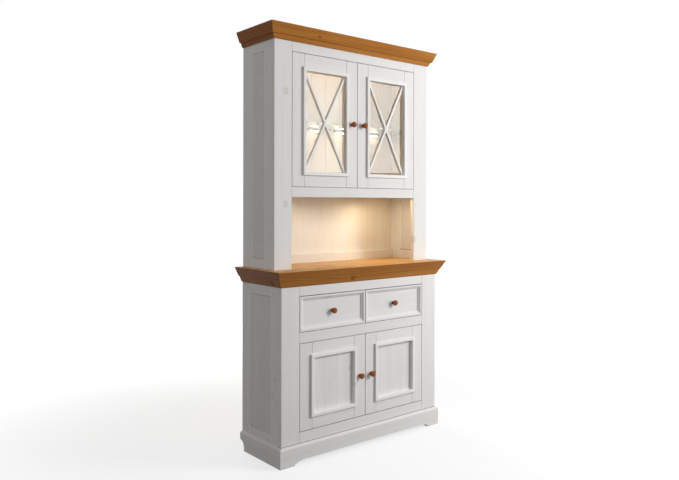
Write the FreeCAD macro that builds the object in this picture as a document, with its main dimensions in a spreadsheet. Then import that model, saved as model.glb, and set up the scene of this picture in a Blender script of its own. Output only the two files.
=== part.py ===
import FreeCAD, Part
import os
import re
import Sketcher
from FreeCAD import Placement, Rotation, Vector

# Two-part buffet cabinet: a base cupboard with two drawers over two panelled doors, and a hutch with two
# glazed doors over an open niche. Millimetres, +Z up, the front faces -Y. The origin is on the floor at the
# centre of the footprint, which is the worktop's.

# Driving sizes
SIZES = {
    # whole cupboards
    "opening_width": 822,
    "base_front_stile": 104,
    "hutch_front_stile": 101,
    "base_depth": 335,
    "hutch_depth": 271,
    # boards
    "side_thickness": 20,
    "frame_thickness": 22,
    "side_panel_thickness": 14,
    "back_thickness": 8,
    "back_rebate": 10,
    "inner_board_thickness": 18,
    "eased_edge": 1.2,
    "overrun": 2,
    # heights of the base front, from the floor up
    "base_bottom_rail_top": 145,
    "base_door_opening": 414,
    "base_middle_rail": 51,
    "drawer_opening": 170,
    "base_top_rail": 76,
    # heights of the hutch front, from the worktop up
    "niche_height": 342,
    "hutch_middle_rail": 48,
    "hutch_door_opening": 642,
    "hutch_top_rail": 67,
    # framed sides
    "base_side_front_stile": 83,
    "base_side_rear_stile": 69,
    "base_side_top_rail": 78,
    "base_side_bottom_rail": 65,
    "hutch_side_front_stile": 81,
    "hutch_side_rear_stile": 85,
    "hutch_side_top_rail": 67,
    "hutch_side_bottom_rail": 50,
    # plinth
    "plinth_projection": 13,
    "plinth_face_height": 83,
    "plinth_height": 93,
    "plinth_shoulder": 4,
    "plinth_ledge_height": 70,
    "plinth_ledge": 12,
    "foot_length": 82,
    "foot_riser": 6,
    "foot_curve_length": 54,
    "arch_height": 20.5,
    "relief_depth": 35,
    "relief_riser": 14,
    "relief_height": 52,
    # worktop and the strip below it
    "worktop_thickness": 46,
    "worktop_arris": 3,
    "worktop_overhang": 42,
    "worktop_foot_overhang": 20,
    "worktop_back_overhang": 5,
    "strip_height": 30,
    "strip_top_projection": 18,
    "strip_foot_projection": 8,
    "strip_bevel": 6,
    # cornice
    "cornice_rise": 49,
    "cornice_drop": 21,
    "cornice_arris": 3,
    "cornice_overhang": 40,
    "cornice_quirk_projection": 22,
    "cornice_band_projection": 15,
    "cornice_foot_projection": 6,
    "cornice_bearing": 20,
    # doors
    "door_gap": 2,
    "door_meeting_gap": 3,
    "door_stile": 72,
    "base_door_rail": 68,
    "hutch_door_top_rail": 75,
    "hutch_door_bottom_rail": 66,
    "panel_recess": 8,
    "panel_rebate": 8,
    "panel_play": 0.5,
    "panel_thickness": 8,
    "glass_thickness": 4,
    # applied moulding of the doors
    "moulding_width": 18,
    "moulding_overlap": 11,
    "moulding_projection": 10,
    "moulding_round": 2,
    "moulding_bevel_width": 3,
    "moulding_bevel_depth": 3,
    # crossed bars
    "bar_width": 14,
    "bar_recess": 2,
    "bar_chamfer": 1.5,
    # knobs
    "knob_seat_radius": 9,
    "knob_seat_height": 1.5,
    "knob_neck_radius": 5.5,
    "knob_waist_share": 0.17,
    "knob_head_radius": 14.5,
    "knob_head_level": 18.5,
    "knob_head_crown": 10,
    # drawers
    "drawer_board_thickness": 13,
    "drawer_rim_height": 13,
    "drawer_rim_width": 22,
    "drawer_lip": 10,
    "drawer_rim_step": 2.5,
    "drawer_back_space": 31,
    "drawer_box_height": 140,
    "drawer_box_lift": 10,
    "drawer_side_thickness": 14,
    "drawer_side_play": 1.5,
    "drawer_bottom_thickness": 6,
    "drawer_bottom_lift": 8,
    "drawer_bottom_groove": 5,
    # drawer guides
    "guide_thickness": 20,
    "partition_setback": 28,
    "deck_thickness": 16,
    "runner_shortfall": 10,
    "runner_height": 14,
    "runner_engagement": 6,
    "runner_play": 0.3,
    # shelves and pins
    "base_shelf_lift": 200,
    "glass_shelf_lift": 328,
    "glass_shelf_thickness": 6,
    "shelf_end_play": 2,
    "base_shelf_setback": 25,
    "glass_shelf_setback": 20,
    "glass_shelf_back_gap": 8,
    "pin_radius": 2.5,
    "pin_depth": 8,
    "pin_head_radius": 4,
    "pin_head_length": 8,
    "pin_play": 0.1,
    "pin_inset": 45,
    # hutch boards
    "hutch_floor_drop": 10,
    "hutch_floor_thickness": 20,
    "niche_rail_height": 45,
    # lights
    "clip_length": 70,
    "clip_depth": 18,
    "clip_grip": 12,
    "clip_below": 7,
    "clip_above": 3,
    "inner_clip_offset": 88,
    "outer_clip_offset": 340,
    "spot_radius": 30,
    "spot_lens_radius": 23,
    "spot_height": 8,
    "spot_bevel": 3,
    "spot_recess": 2,
    "spot_offset": 200,
    # concealed hinges
    "cup_radius": 17.5,
    "cup_wall": 1.5,
    "cup_rim": 2,
    "cup_depth": 12,
    "cup_inset": 22,
    "cup_play": 0.1,
    "flange_width": 14,
    "flange_length": 60,
    "flange_thickness": 1.5,
    "arm_width": 14,
    "arm_thickness": 9,
    "arm_back_length": 30,
    "arm_reach": 30,
    "arm_offset": 4,
    "hinge_play": 0.3,
    "hinge_inset": 70,
}

# Places and sums that several pieces share, worked out from the driving sizes
LAYOUT = {
    "base_width": "opening_width + 2 * base_front_stile",
    "hutch_width": "opening_width + 2 * hutch_front_stile",
    "worktop_depth": "base_depth + worktop_overhang + worktop_back_overhang",
    "base_front": "worktop_overhang - worktop_depth / 2",
    "base_back_face": "base_front + base_depth",
    "hutch_front": "base_back_face - hutch_depth",
    "base_half": "base_width / 2",
    "hutch_half": "hutch_width / 2",
    "opening_half": "opening_width / 2",
    # levels of the base
    "base_door_top": "base_bottom_rail_top + base_door_opening",
    "drawer_level": "base_door_top + base_middle_rail",
    "drawer_top": "drawer_level + drawer_opening",
    "base_top": "drawer_top + base_top_rail",
    "worktop_top": "base_top + worktop_thickness",
    # levels of the hutch
    "niche_top": "worktop_top + niche_height",
    "hutch_door_foot": "niche_top + hutch_middle_rail",
    "hutch_door_head": "hutch_door_foot + hutch_door_opening",
    "hutch_top_face": "hutch_door_head + hutch_top_rail",
    "hutch_floor_top": "hutch_door_foot - hutch_floor_drop",
    # inner spaces
    "base_inner_half": "base_half - side_thickness",
    "hutch_inner_half": "hutch_half - side_thickness",
    "base_inner_front": "base_front + frame_thickness",
    "hutch_inner_front": "hutch_front + frame_thickness",
    "back_panel_face": "base_back_face - back_thickness",
    # doors
    "door_width": "(opening_width - 2 * door_gap - door_meeting_gap) / 2",
    "door_field_width": "door_width - 2 * door_stile",
    "base_door_height": "base_door_opening - 2 * door_gap",
    "hutch_door_height": "hutch_door_opening - 2 * door_gap",
    "moulding_inside": "moulding_width - moulding_overlap",
    "bars_width": "door_field_width - 2 * moulding_inside",
    "bars_height": "hutch_door_height - hutch_door_top_rail - hutch_door_bottom_rail - 2 * moulding_inside",
    "bars_diagonal": "sqrt(bars_width ^ 2 + bars_height ^ 2)",
    # drawers
    "drawer_front_height": "drawer_opening - 2 * door_gap",
    "drawer_front_thickness": "drawer_board_thickness + drawer_rim_height",
    "drawer_box_front": "base_front + drawer_front_thickness",
    "drawer_box_length": "back_panel_face - drawer_back_space - drawer_box_front",
    "runner_length": "drawer_box_length - runner_shortfall",
    "drawer_box_foot": "drawer_level + drawer_box_lift",
    "partition_half": "guide_thickness / 2",
    "drawer_box_width": "opening_half - partition_half - 2 * drawer_side_play",
    "runner_level": "drawer_box_foot + drawer_box_height / 2",
    "groove_depth": "runner_engagement + runner_play",
    # shelves
    "base_shelf_foot": "base_bottom_rail_top + base_shelf_lift",
    "glass_shelf_foot": "hutch_floor_top + glass_shelf_lift",
    "glass_shelf_back": "back_panel_face - glass_shelf_back_gap",
    "base_pin_level": "base_shelf_foot - pin_head_radius",
    "hutch_pin_level": "glass_shelf_foot - pin_head_radius",
}

# Counts
BACK_BOARDS = 10

document = FreeCAD.newDocument("buffet_cabinet")
NODES = []


# Sheets and expressions

def add_sheet(name, cells):
    sheet = document.addObject("Spreadsheet::Sheet", name)
    for row, (alias, content) in enumerate(cells.items(), start=1):
        sheet.set(f"A{row}", alias)
        sheet.set(f"B{row}", content)
        sheet.setAlias(f"B{row}", alias)
    return sheet


def prefixed(text):
    """Puts the sheet's name before each alias of an expression."""
    def with_sheet(match):
        word = match.group(0)
        if word in SIZES:
            return "sizes." + word
        return "layout." + word if word in LAYOUT else word
    return re.sub(r"[a-z][a-z_]*", with_sheet, text)


def number(text):
    return float(sizes.evalExpression(prefixed(text)))


def bind(item, property_name, text):
    item.setExpression(property_name, prefixed(text))


def locate(item, corner):
    for axis, text in zip("xyz", corner):
        bind(item, "Placement.Base." + axis, text)


sizes = add_sheet("sizes", {alias: str(size) for alias, size in SIZES.items()})
layout = add_sheet("layout", {alias: "=" + prefixed(text) for alias, text in LAYOUT.items()})
document.recompute()


# Building blocks

def new_body(label, corner, rotation=None):
    body = document.addObject("PartDesign::Body", label)
    if rotation is not None:
        body.Placement = Placement(Vector(), rotation)
    locate(body, corner)
    return body


def add_node(label, pieces):
    """One node: a single piece under its own name, or a group of separate solids."""
    if len(pieces) == 1:
        node = pieces[0]
    else:
        node = document.addObject("Part::Compound", label)
        node.Links = pieces
    node.Label = label
    NODES.append(node)


def add_sketch(body, label, plane, offset="0"):
    outline = body.newObject("Sketcher::SketchObject", label)
    support = next(item for item in body.Origin.OriginFeatures if item.Role == plane)
    outline.AttachmentSupport = [(support, "")]
    outline.MapMode = "FlatFace"
    bind(outline, "AttachmentOffset.Base.z", offset)
    return outline


def pin_point(outline, geometry, end, u, v):
    """Ties a point of a sketch to two expressions, measured from the sketch's origin."""
    for kind, text in (("DistanceX", u), ("DistanceY", v)):
        index = outline.addConstraint(Sketcher.Constraint(kind, -1, 1, geometry, end, number(text)))
        bind(outline, f"Constraints[{index}]", text)


def add_polygons(body, label, plane, polygons, offset="0"):
    outline = add_sketch(body, label, plane, offset)
    for corners in polygons:
        first = outline.GeometryCount
        count = len(corners)
        points = [Vector(number(u), number(v), 0) for u, v in corners]
        outline.addGeometry([Part.LineSegment(points[i - 1], points[i]) for i in range(count)], False)
        for i in range(count):
            outline.addConstraint(Sketcher.Constraint("Coincident", first + i, 2, first + (i + 1) % count, 1))
        for i, (u, v) in enumerate(corners):
            pin_point(outline, first + i, 2, u, v)
    return outline


def by_hand(hand, left, right):
    return left if hand == "left" else right


def rectangle(u_low, v_low, u_high, v_high):
    return [(u_low, v_low), (u_high, v_low), (u_high, v_high), (u_low, v_high)]


def add_pad(body, outline, length, backwards=False):
    pad = body.newObject("PartDesign::Pad", body.Name + "_pad")
    pad.Profile = outline
    pad.Reversed = backwards
    bind(pad, "Length", length)
    body.Tip = pad
    document.recompute()
    return pad


def add_pocket(body, outline, depth=None, backwards=False):
    """Cuts an outline into a body, right through it where no depth is given."""
    before = body.Shape.Volume
    pocket = body.newObject("PartDesign::Pocket", body.Name + "_pocket")
    pocket.Profile = outline
    pocket.Reversed = backwards
    if depth is None:
        pocket.Type = "ThroughAll"
    else:
        bind(pocket, "Length", depth)
    body.Tip = pocket
    document.recompute()
    if body.Shape.Volume >= before:
        raise ValueError("a pocket of " + body.Label + " cuts nothing")
    return pocket


DIRECTIONS = {
    "-X": Vector(-1, 0, 0), "+X": Vector(1, 0, 0),
    "-Y": Vector(0, -1, 0), "+Y": Vector(0, 1, 0),
    "-Z": Vector(0, 0, -1), "+Z": Vector(0, 0, 1),
}


def outermost_edge(shape, face, side):
    """The name of a straight edge that lies furthest towards two directions at once."""
    towards = DIRECTIONS[face] + DIRECTIONS[side]
    reach = [edge.CenterOfMass.dot(towards) for edge in shape.Edges]
    return "Edge%d" % (reach.index(max(reach)) + 1)


def ease(body, face, sides):
    """Chamfers the arrises between one face of a board and the named sides."""
    base = body.Tip
    chamfer = body.newObject("PartDesign::Chamfer", body.Name + "_eased")
    chamfer.Base = (base, [outermost_edge(base.Shape, face, side) for side in sides])
    bind(chamfer, "Size", "eased_edge")
    body.Tip = chamfer
    document.recompute()


def board(label, corner, size, face=None, sides=()):
    """A board from its lowest corner, with eased arrises on the face that shows."""
    body = new_body(label, corner)
    outline = add_polygons(body, label + "_outline", "XY_Plane", [rectangle("0", "0", size[0], size[1])])
    add_pad(body, outline, size[2])
    if face:
        ease(body, face, sides)
    return body


def block(label, corner, size):
    """A plain hidden board."""
    item = document.addObject("Part::Box", label)
    for name, text in zip(("Length", "Width", "Height"), size):
        bind(item, name, text)
    locate(item, corner)
    return item


def cylinder(label, centre, radius, height, rotation):
    item = document.addObject("Part::Cylinder", label)
    item.Placement = Placement(Vector(), rotation)
    bind(item, "Radius", radius)
    bind(item, "Height", height)
    locate(item, centre)
    return item


def difference(label, base, tool):
    item = document.addObject("Part::Cut", label)
    item.Base = base
    item.Tool = tool
    return item


def revolved(label, corner, plane, polygon, axis, rotation=None):
    body = new_body(label, corner, rotation)
    outline = add_polygons(body, label + "_profile", plane, [polygon])
    turned = body.newObject("PartDesign::Revolution", label + "_turned")
    turned.Profile = outline
    turned.ReferenceAxis = (outline, [axis])
    body.Tip = turned
    return body


def strip(label, start, rotation, length, width, crest, profile, mitres=("start", "end")):
    """A moulding along local X. Its profile is drawn as (inward, up), and a mitre runs at 45 degrees."""
    body = new_body(label, start, rotation)
    section = add_polygons(body, label + "_section", "YZ_Plane", [profile])
    add_pad(body, section, length)
    beyond = f"{width} + overrun"
    offcuts = []
    if "start" in mitres:
        offcuts.append([("-overrun", "-overrun"), (beyond, beyond), ("-overrun", beyond)])
    if "end" in mitres:
        far = f"{length} + overrun"
        offcuts.append([(far, "-overrun"), (far, beyond), (f"{length} - ({beyond})", beyond)])
    add_pocket(body, add_polygons(body, label + "_mitres", "XY_Plane", offcuts, f"{crest} + overrun"))
    return body


def mitred_frame(label, corner, width, height, member, crest, profile):
    """Four strips round a rectangle in a plane that faces -Y, from its lowest corner."""
    x, y, z = corner
    right = f"{x} + {width}"
    top = f"{z} + {height}"
    runs = [
        ("bottom", (x, y, z), width),
        ("right", (right, y, z), height),
        ("top", (right, y, top), width),
        ("left", (x, y, top), height),
    ]
    upright = Rotation(Vector(1, 0, 0), 90)
    pieces = []
    for turns, (name, start, length) in enumerate(runs):
        rotation = Rotation(Vector(0, -1, 0), 90 * turns).multiply(upright)
        pieces.append(strip(f"{label}_{name}", start, rotation, length, member, crest, profile))
    return pieces


def crown(label, front, back, half_width, foot, member, crest, profile):
    """Three strips round the front and sides: the front one mitred twice, the side ones at the front."""
    depth = f"{back} - ({front})"
    width = f"2 * ({half_width})"
    runs = [
        ("front", (f"-({half_width})", front, foot), width, 0, ("start", "end")),
        ("right", (half_width, front, foot), depth, 90, ("start",)),
        ("left", (f"-({half_width})", back, foot), depth, -90, ("end",)),
    ]
    return [
        strip(
            f"{label}_{name}", start, Rotation(Vector(0, 0, 1), turn), length, member, crest, profile, mitres)
        for name, start, length, turn, mitres in runs
    ]


# Plinth

def build_plinth():
    profile = [
        ("0", "0"),
        ("0", "plinth_face_height"),
        ("plinth_shoulder", "plinth_face_height + plinth_shoulder"),
        ("plinth_projection", "plinth_height"),
        ("plinth_projection", "plinth_ledge_height"),
        ("plinth_projection + plinth_ledge", "plinth_ledge_height"),
        ("plinth_projection + plinth_ledge", "0"),
    ]
    front, right, left = crown(
        "plinth", "base_front - plinth_projection", "base_back_face", "base_half + plinth_projection", "0",
        "plinth_projection + plinth_ledge", "plinth_height", profile)
    cut_arch(front)
    cut_relief(right, "base_depth + plinth_projection", "-1")
    cut_relief(left, "0", "1")
    add_node("plinth_front", [front])
    add_node("plinth_sides", [left, right])


def cut_curved(body, label, points):
    """Cuts an outline whose second side is an arc that ends level, at the outline's third point."""
    outline = add_sketch(body, label, "XZ_Plane", "overrun")
    corners = [Vector(number(u), number(v), 0) for u, v in points]
    start, end = corners[1], corners[2]
    run = end.x - start.x
    rise = end.y - start.y
    radius = (run ** 2 + rise ** 2) / (2 * rise)
    centre = end - Vector(0, radius, 0)
    outwards = (start + end) / 2 - centre
    middle = centre + outwards * (radius / outwards.Length)
    count = len(corners)
    for i in range(count):
        ends = corners[i], corners[(i + 1) % count]
        side = Part.Arc(ends[0], middle, ends[1]) if i == 1 else Part.LineSegment(*ends)
        outline.addGeometry(side, False)
    to_start = [outline.getPoint(1, end_index).distanceToPoint(start) for end_index in (1, 2)]
    first, last = (1, 2) if to_start[0] < to_start[1] else (2, 1)
    outline.addConstraint(Sketcher.Constraint("Coincident", 0, 2, 1, first))
    outline.addConstraint(Sketcher.Constraint("Coincident", 1, last, 2, 1))
    for i in range(2, count):
        outline.addConstraint(Sketcher.Constraint("Coincident", i, 2, (i + 1) % count, 1))
    pin_point(outline, 0, 1, *points[0])
    pin_point(outline, 0, 2, *points[1])
    for i in range(2, count):
        pin_point(outline, i, 1, *points[i])
    outline.addConstraint(Sketcher.Constraint("Vertical", 1, 3, 1, last))
    add_pocket(body, outline)


def cut_arch(body):
    """Opens the low arch between the two bracket feet, one half at a time."""
    half = "base_half + plinth_projection"
    for name, sign, start in (("left", "1", "0"), ("right", "-1", f"2 * ({half})")):
        foot = f"{start} + {sign} * foot_length"
        crown_start = f"{start} + {sign} * (foot_length + foot_curve_length)"
        middle = half if name == "left" else f"{half} - overrun"
        cut_curved(body, f"arch_{name}", [
            (foot, "-overrun"),
            (foot, "foot_riser"),
            (crown_start, "arch_height"),
            (middle, "arch_height"),
            (middle, "-overrun"),
        ])


def cut_relief(body, start, sign):
    """Clears a skirting board behind the back end of a side plinth."""
    far = f"{start} + {sign} * relief_depth"
    end = f"{start} - {sign} * overrun"
    cut_curved(body, "relief", [
        (far, "-overrun"),
        (far, "relief_riser"),
        (end, "relief_height"),
        (end, "relief_height + overrun"),
        (end, "-overrun"),
    ])


# Carcass

def cut_back_rebate(body, hand, width, height):
    """Takes the back panel's seat out of the inner rear edge of a side stile."""
    low, high = by_hand(
        hand, ("side_thickness - back_rebate", "side_thickness + overrun"), ("-overrun", "back_rebate"))
    area = rectangle(low, f"{width} - back_thickness", high, f"{width} + overrun")
    outline = add_polygons(body, body.Label + "_rebate", "XY_Plane", [area], f"{height} + overrun")
    add_pocket(body, outline)


def drill_pin_hole(body, hand, along, level):
    """Drills one shelf pin hole into the inner face of a side stile."""
    outline = add_sketch(body, body.Label + "_pin", "YZ_Plane", by_hand(hand, "side_thickness", "0"))
    radius = number("pin_radius + pin_play")
    outline.addGeometry(Part.Circle(Vector(number(along), number(level), 0), Vector(0, 0, 1), radius), False)
    index = outline.addConstraint(Sketcher.Constraint("Radius", 0, radius))
    bind(outline, f"Constraints[{index}]", "pin_radius + pin_play")
    pin_point(outline, 0, 3, along, level)
    add_pocket(body, outline, "pin_depth + pin_play", backwards=hand == "right")


def build_side(cupboard, hand, half, front, foot, head, pin_level):
    """A framed side: two stiles, two rails and a flush panel, with fine grooves where they meet."""
    label = f"{cupboard}_side_{hand}"
    face = by_hand(hand, "-X", "+X")
    x = by_hand(hand, f"-{half}", f"{half} - side_thickness")
    panel_x = by_hand(hand, f"-{half}", f"{half} - side_panel_thickness")
    inner_front = f"{front} + frame_thickness"
    front_width = f"{cupboard}_side_front_stile - frame_thickness"
    rear_width = f"{cupboard}_side_rear_stile"
    top_rail = f"{cupboard}_side_top_rail"
    bottom_rail = f"{cupboard}_side_bottom_rail"
    height = f"{head} - {foot}"
    middle_start = f"{front} + {cupboard}_side_front_stile"
    middle = f"base_back_face - {rear_width} - ({middle_start})"
    front_stile = board(
        f"{label}_front_stile", (x, inner_front, foot), ("side_thickness", front_width, height), face, ["+Y"])
    rear_stile = board(
        f"{label}_rear_stile", (x, f"base_back_face - {rear_width}", foot),
        ("side_thickness", rear_width, height), face, ["-Y"])
    top = board(
        f"{label}_top_rail", (x, middle_start, f"{head} - {top_rail}"),
        ("side_thickness", middle, top_rail), face, ["-Y", "+Y", "-Z"])
    bottom = board(
        f"{label}_bottom_rail", (x, middle_start, foot),
        ("side_thickness", middle, bottom_rail), face, ["-Y", "+Y", "+Z"])
    panel = board(
        f"{label}_panel", (panel_x, middle_start, f"{foot} + {bottom_rail}"),
        ("side_panel_thickness", middle, f"{height} - {top_rail} - {bottom_rail}"), face,
        ["-Y", "+Y", "-Z", "+Z"])
    cut_back_rebate(rear_stile, hand, rear_width, height)
    drill_pin_hole(front_stile, hand, "pin_inset", f"{pin_level} - ({foot})")
    drill_pin_hole(rear_stile, hand, f"{rear_width} - pin_inset", f"{pin_level} - ({foot})")
    add_node(label, [front_stile, rear_stile, top, bottom, panel])


def front_stiles(cupboard, half, front, foot, head):
    width = f"{cupboard}_front_stile"
    height = f"{head} - {foot}"
    pieces = [
        board(f"{cupboard}_front_stile_{name}", (x, front, foot), (width, "frame_thickness", height),
              "-Y", ["-X", "+X"])
        for name, x in (("left", f"-{half}"), ("right", "opening_half"))
    ]
    add_node(f"{cupboard}_front_stiles", pieces)


def front_rails(cupboard, front, rails):
    pieces = [
        board(f"{cupboard}_front_rail_{name}", ("-opening_half", front, foot),
              ("opening_width", "frame_thickness", height), "-Y", ["-X", "+X", "-Z", "+Z"])
        for name, foot, height in rails
    ]
    add_node(f"{cupboard}_front_rails", pieces)


def build_base():
    foot = "plinth_ledge_height"
    for hand in ("left", "right"):
        build_side("base", hand, "base_half", "base_front", foot, "base_top", "base_pin_level")
    front_stiles("base", "base_half", "base_front", foot, "base_top")
    front_rails("base", "base_front", [
        ("bottom", foot, f"base_bottom_rail_top - {foot}"),
        ("middle", "base_door_top", "base_middle_rail"),
        ("top", "drawer_top", "base_top_rail"),
    ])
    inner_width = "2 * base_inner_half"
    inner_depth = "back_panel_face - base_inner_front"
    add_node("base_floor", [block(
        "base_floor",
        ("-base_inner_half", "base_inner_front", "base_bottom_rail_top - inner_board_thickness"),
        (inner_width, inner_depth, "inner_board_thickness"))])
    add_node("drawer_deck", [block(
        "drawer_deck", ("-base_inner_half", "base_inner_front", "drawer_level - deck_thickness"),
        (inner_width, inner_depth, "deck_thickness"))])
    add_node("base_shelf", [board(
        "base_shelf",
        ("shelf_end_play - base_inner_half", "base_inner_front + base_shelf_setback", "base_shelf_foot"),
        (f"{inner_width} - 2 * shelf_end_play", f"{inner_depth} - base_shelf_setback",
         "inner_board_thickness"),
        "-Y", ["-Z", "+Z"])])
    add_node("base_back", [block(
        "base_back", ("back_rebate - base_half", "back_panel_face", foot),
        ("base_width - 2 * back_rebate", "back_thickness", f"base_top - {foot}"))])


def build_drawer_guides():
    """Two outer guide boards, the middle partition and the four runners that the drawers hang on."""
    depth = "back_panel_face - base_inner_front"
    height = "drawer_opening"
    pieces = [
        block("guide_left", ("-opening_half - guide_thickness", "base_inner_front", "drawer_level"),
              ("guide_thickness", depth, height)),
        block("guide_right", ("opening_half", "base_inner_front", "drawer_level"),
              ("guide_thickness", depth, height)),
        block("partition", ("-partition_half", "base_front + partition_setback", "drawer_level"),
              ("guide_thickness", "back_panel_face - base_front - partition_setback",
               "base_top - drawer_level")),
    ]
    width = "drawer_side_play + runner_engagement"
    seats = [
        ("outer_left", "-opening_half"),
        ("inner_left", f"-partition_half - ({width})"),
        ("inner_right", "partition_half"),
        ("outer_right", f"opening_half - ({width})"),
    ]
    for name, x in seats:
        pieces.append(block(
            f"runner_{name}", (x, "base_front + partition_setback", "runner_level - runner_height / 2"),
            (width, "runner_length", "runner_height")))
    add_node("drawer_guides", pieces)


def build_worktop():
    """A thick board with edges that slope in towards its underside, and the mitred strip below it."""
    body = new_body("worktop", ("-base_half - worktop_overhang", "0", "base_top"))
    back = "worktop_depth / 2"
    setback = "worktop_overhang - worktop_foot_overhang"
    slope = "worktop_thickness - worktop_arris"
    width = "base_width + 2 * worktop_overhang"
    section = [
        (f"{setback} - {back}", "0"),
        (f"-{back}", slope),
        (f"-{back}", "worktop_thickness"),
        (back, "worktop_thickness"),
        (back, "0"),
    ]
    add_pad(body, add_polygons(body, "worktop_section", "YZ_Plane", [section]), width)
    end_cut = [
        ("0", slope),
        (setback, "0"),
        (setback, "-overrun"),
        ("-overrun", "-overrun"),
        ("-overrun", slope),
    ]
    far_cut = [(f"{width} - ({u})", v) for u, v in end_cut]
    ends = add_polygons(body, "worktop_ends", "XZ_Plane", [end_cut, far_cut], f"{back} + overrun")
    add_pocket(body, ends)
    ease(body, "+Z", ["-Y", "-X", "+X"])
    add_node("worktop", [body])
    inset = "strip_top_projection - strip_foot_projection"
    profile = [
        (inset, "strip_bevel"),
        ("0", "strip_height"),
        ("strip_top_projection", "strip_height"),
        ("strip_top_projection", "0"),
        (f"{inset} + strip_bevel", "0"),
    ]
    add_node("worktop_moulding", crown(
        "worktop_strip", "base_front - strip_top_projection", "base_back_face",
        "base_half + strip_top_projection", "base_top - strip_height", "strip_top_projection", "strip_height",
        profile))


def build_hutch():
    for hand in ("left", "right"):
        build_side("hutch", hand, "hutch_half", "hutch_front", "worktop_top", "hutch_top_face",
                   "hutch_pin_level")
    front_stiles("hutch", "hutch_half", "hutch_front", "worktop_top", "hutch_top_face")
    front_rails("hutch", "hutch_front", [
        ("middle", "niche_top", "hutch_middle_rail"),
        ("top", "hutch_door_head", "hutch_top_rail"),
    ])
    inner_width = "2 * hutch_inner_half"
    inner_depth = "back_panel_face - hutch_inner_front"
    add_node("hutch_floor", [block(
        "hutch_floor", ("-hutch_inner_half", "hutch_inner_front", "hutch_floor_top - hutch_floor_thickness"),
        (inner_width, inner_depth, "hutch_floor_thickness"))])
    add_node("hutch_top", [block(
        "hutch_top", ("-hutch_inner_half", "hutch_inner_front", "hutch_top_face - inner_board_thickness"),
        (inner_width, inner_depth, "inner_board_thickness"))])
    add_node("hutch_shelf", [block(
        "hutch_shelf",
        ("shelf_end_play - hutch_inner_half", "hutch_inner_front + glass_shelf_setback", "glass_shelf_foot"),
        (f"{inner_width} - 2 * shelf_end_play", "glass_shelf_back - hutch_inner_front - glass_shelf_setback",
         "glass_shelf_thickness"))])


def build_hutch_back():
    """Grooved boarding behind the glazed cupboard, and behind the niche a plain panel over a foot rail."""
    width = "hutch_width - 2 * back_rebate"
    split = "hutch_floor_top - hutch_floor_thickness"
    height = f"hutch_top_face - ({split})"
    boarding = new_body("back_boarding", ("back_rebate - hutch_half", "back_panel_face", split))
    sheet = rectangle("0", "0", width, "back_thickness")
    outline = add_polygons(boarding, "boarding_outline", "XY_Plane", [sheet])
    add_pad(boarding, outline, height)
    pitch = f"({width}) / {BACK_BOARDS}"
    vee = [
        (f"{pitch} - 2 * eased_edge", "-eased_edge"),
        (f"{pitch} + 2 * eased_edge", "-eased_edge"),
        (pitch, "eased_edge"),
    ]
    groove_outline = add_polygons(boarding, "groove_outline", "XY_Plane", [vee], f"{height} + overrun")
    groove = add_pocket(boarding, groove_outline)
    pattern = boarding.newObject("PartDesign::LinearPattern", "groove_row")
    pattern.Originals = [groove]
    pattern.Direction = (groove_outline, ["H_Axis"])
    pattern.Occurrences = BACK_BOARDS - 1
    bind(pattern, "Length", f"({pitch}) * {BACK_BOARDS - 2}")
    boarding.Tip = pattern
    niche_panel = block("niche_panel", ("back_rebate - hutch_half", "back_panel_face", "worktop_top"),
                        (width, "back_thickness", f"{split} - worktop_top"))
    niche_rail = block(
        "niche_rail", ("-hutch_inner_half", "back_panel_face - inner_board_thickness", "worktop_top"),
        ("2 * hutch_inner_half", "inner_board_thickness", "niche_rail_height"))
    add_node("hutch_back", [boarding, niche_panel, niche_rail])


def build_cornice():
    """Crown mouldings that drop over the top of the hutch: a short lower band, a quirk and a taller slope."""
    widest = "cornice_overhang"
    height = "cornice_drop + cornice_rise"
    inner = "cornice_overhang + cornice_bearing"
    profile = [
        (f"{widest} - cornice_foot_projection", "0"),
        (f"{widest} - cornice_band_projection", "cornice_drop"),
        (f"{widest} - cornice_quirk_projection", "cornice_drop"),
        ("0", f"{height} - cornice_arris"),
        ("0", height),
        (inner, height),
        (inner, "cornice_drop"),
        (widest, "cornice_drop"),
        (widest, "0"),
    ]
    add_node("cornice", crown(
        "cornice", "hutch_front - cornice_overhang", "base_back_face", "hutch_half + cornice_overhang",
        "hutch_top_face - cornice_drop", inner, height, profile))


# Shelf pins and lights

def build_shelf_pins():
    profile = [
        ("-pin_depth", "0"),
        ("-pin_depth", "pin_radius"),
        ("0", "pin_radius"),
        ("0", "pin_head_radius"),
        ("pin_head_length", "pin_head_radius"),
        ("pin_head_length", "0"),
    ]
    pieces = []
    for cupboard in ("base", "hutch"):
        rows = {"front": f"{cupboard}_inner_front + pin_inset", "back": "base_back_face - pin_inset"}
        hands = {"left": (f"-{cupboard}_inner_half", 0), "right": (f"{cupboard}_inner_half", 180)}
        for row, y in rows.items():
            for hand, (x, turn) in hands.items():
                pieces.append(revolved(
                    f"pin_{cupboard}_{row}_{hand}", (x, y, f"{cupboard}_pin_level"), "XY_Plane", profile,
                    "H_Axis", Rotation(Vector(0, 0, 1), turn)))
    add_node("shelf_pins", pieces)


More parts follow.
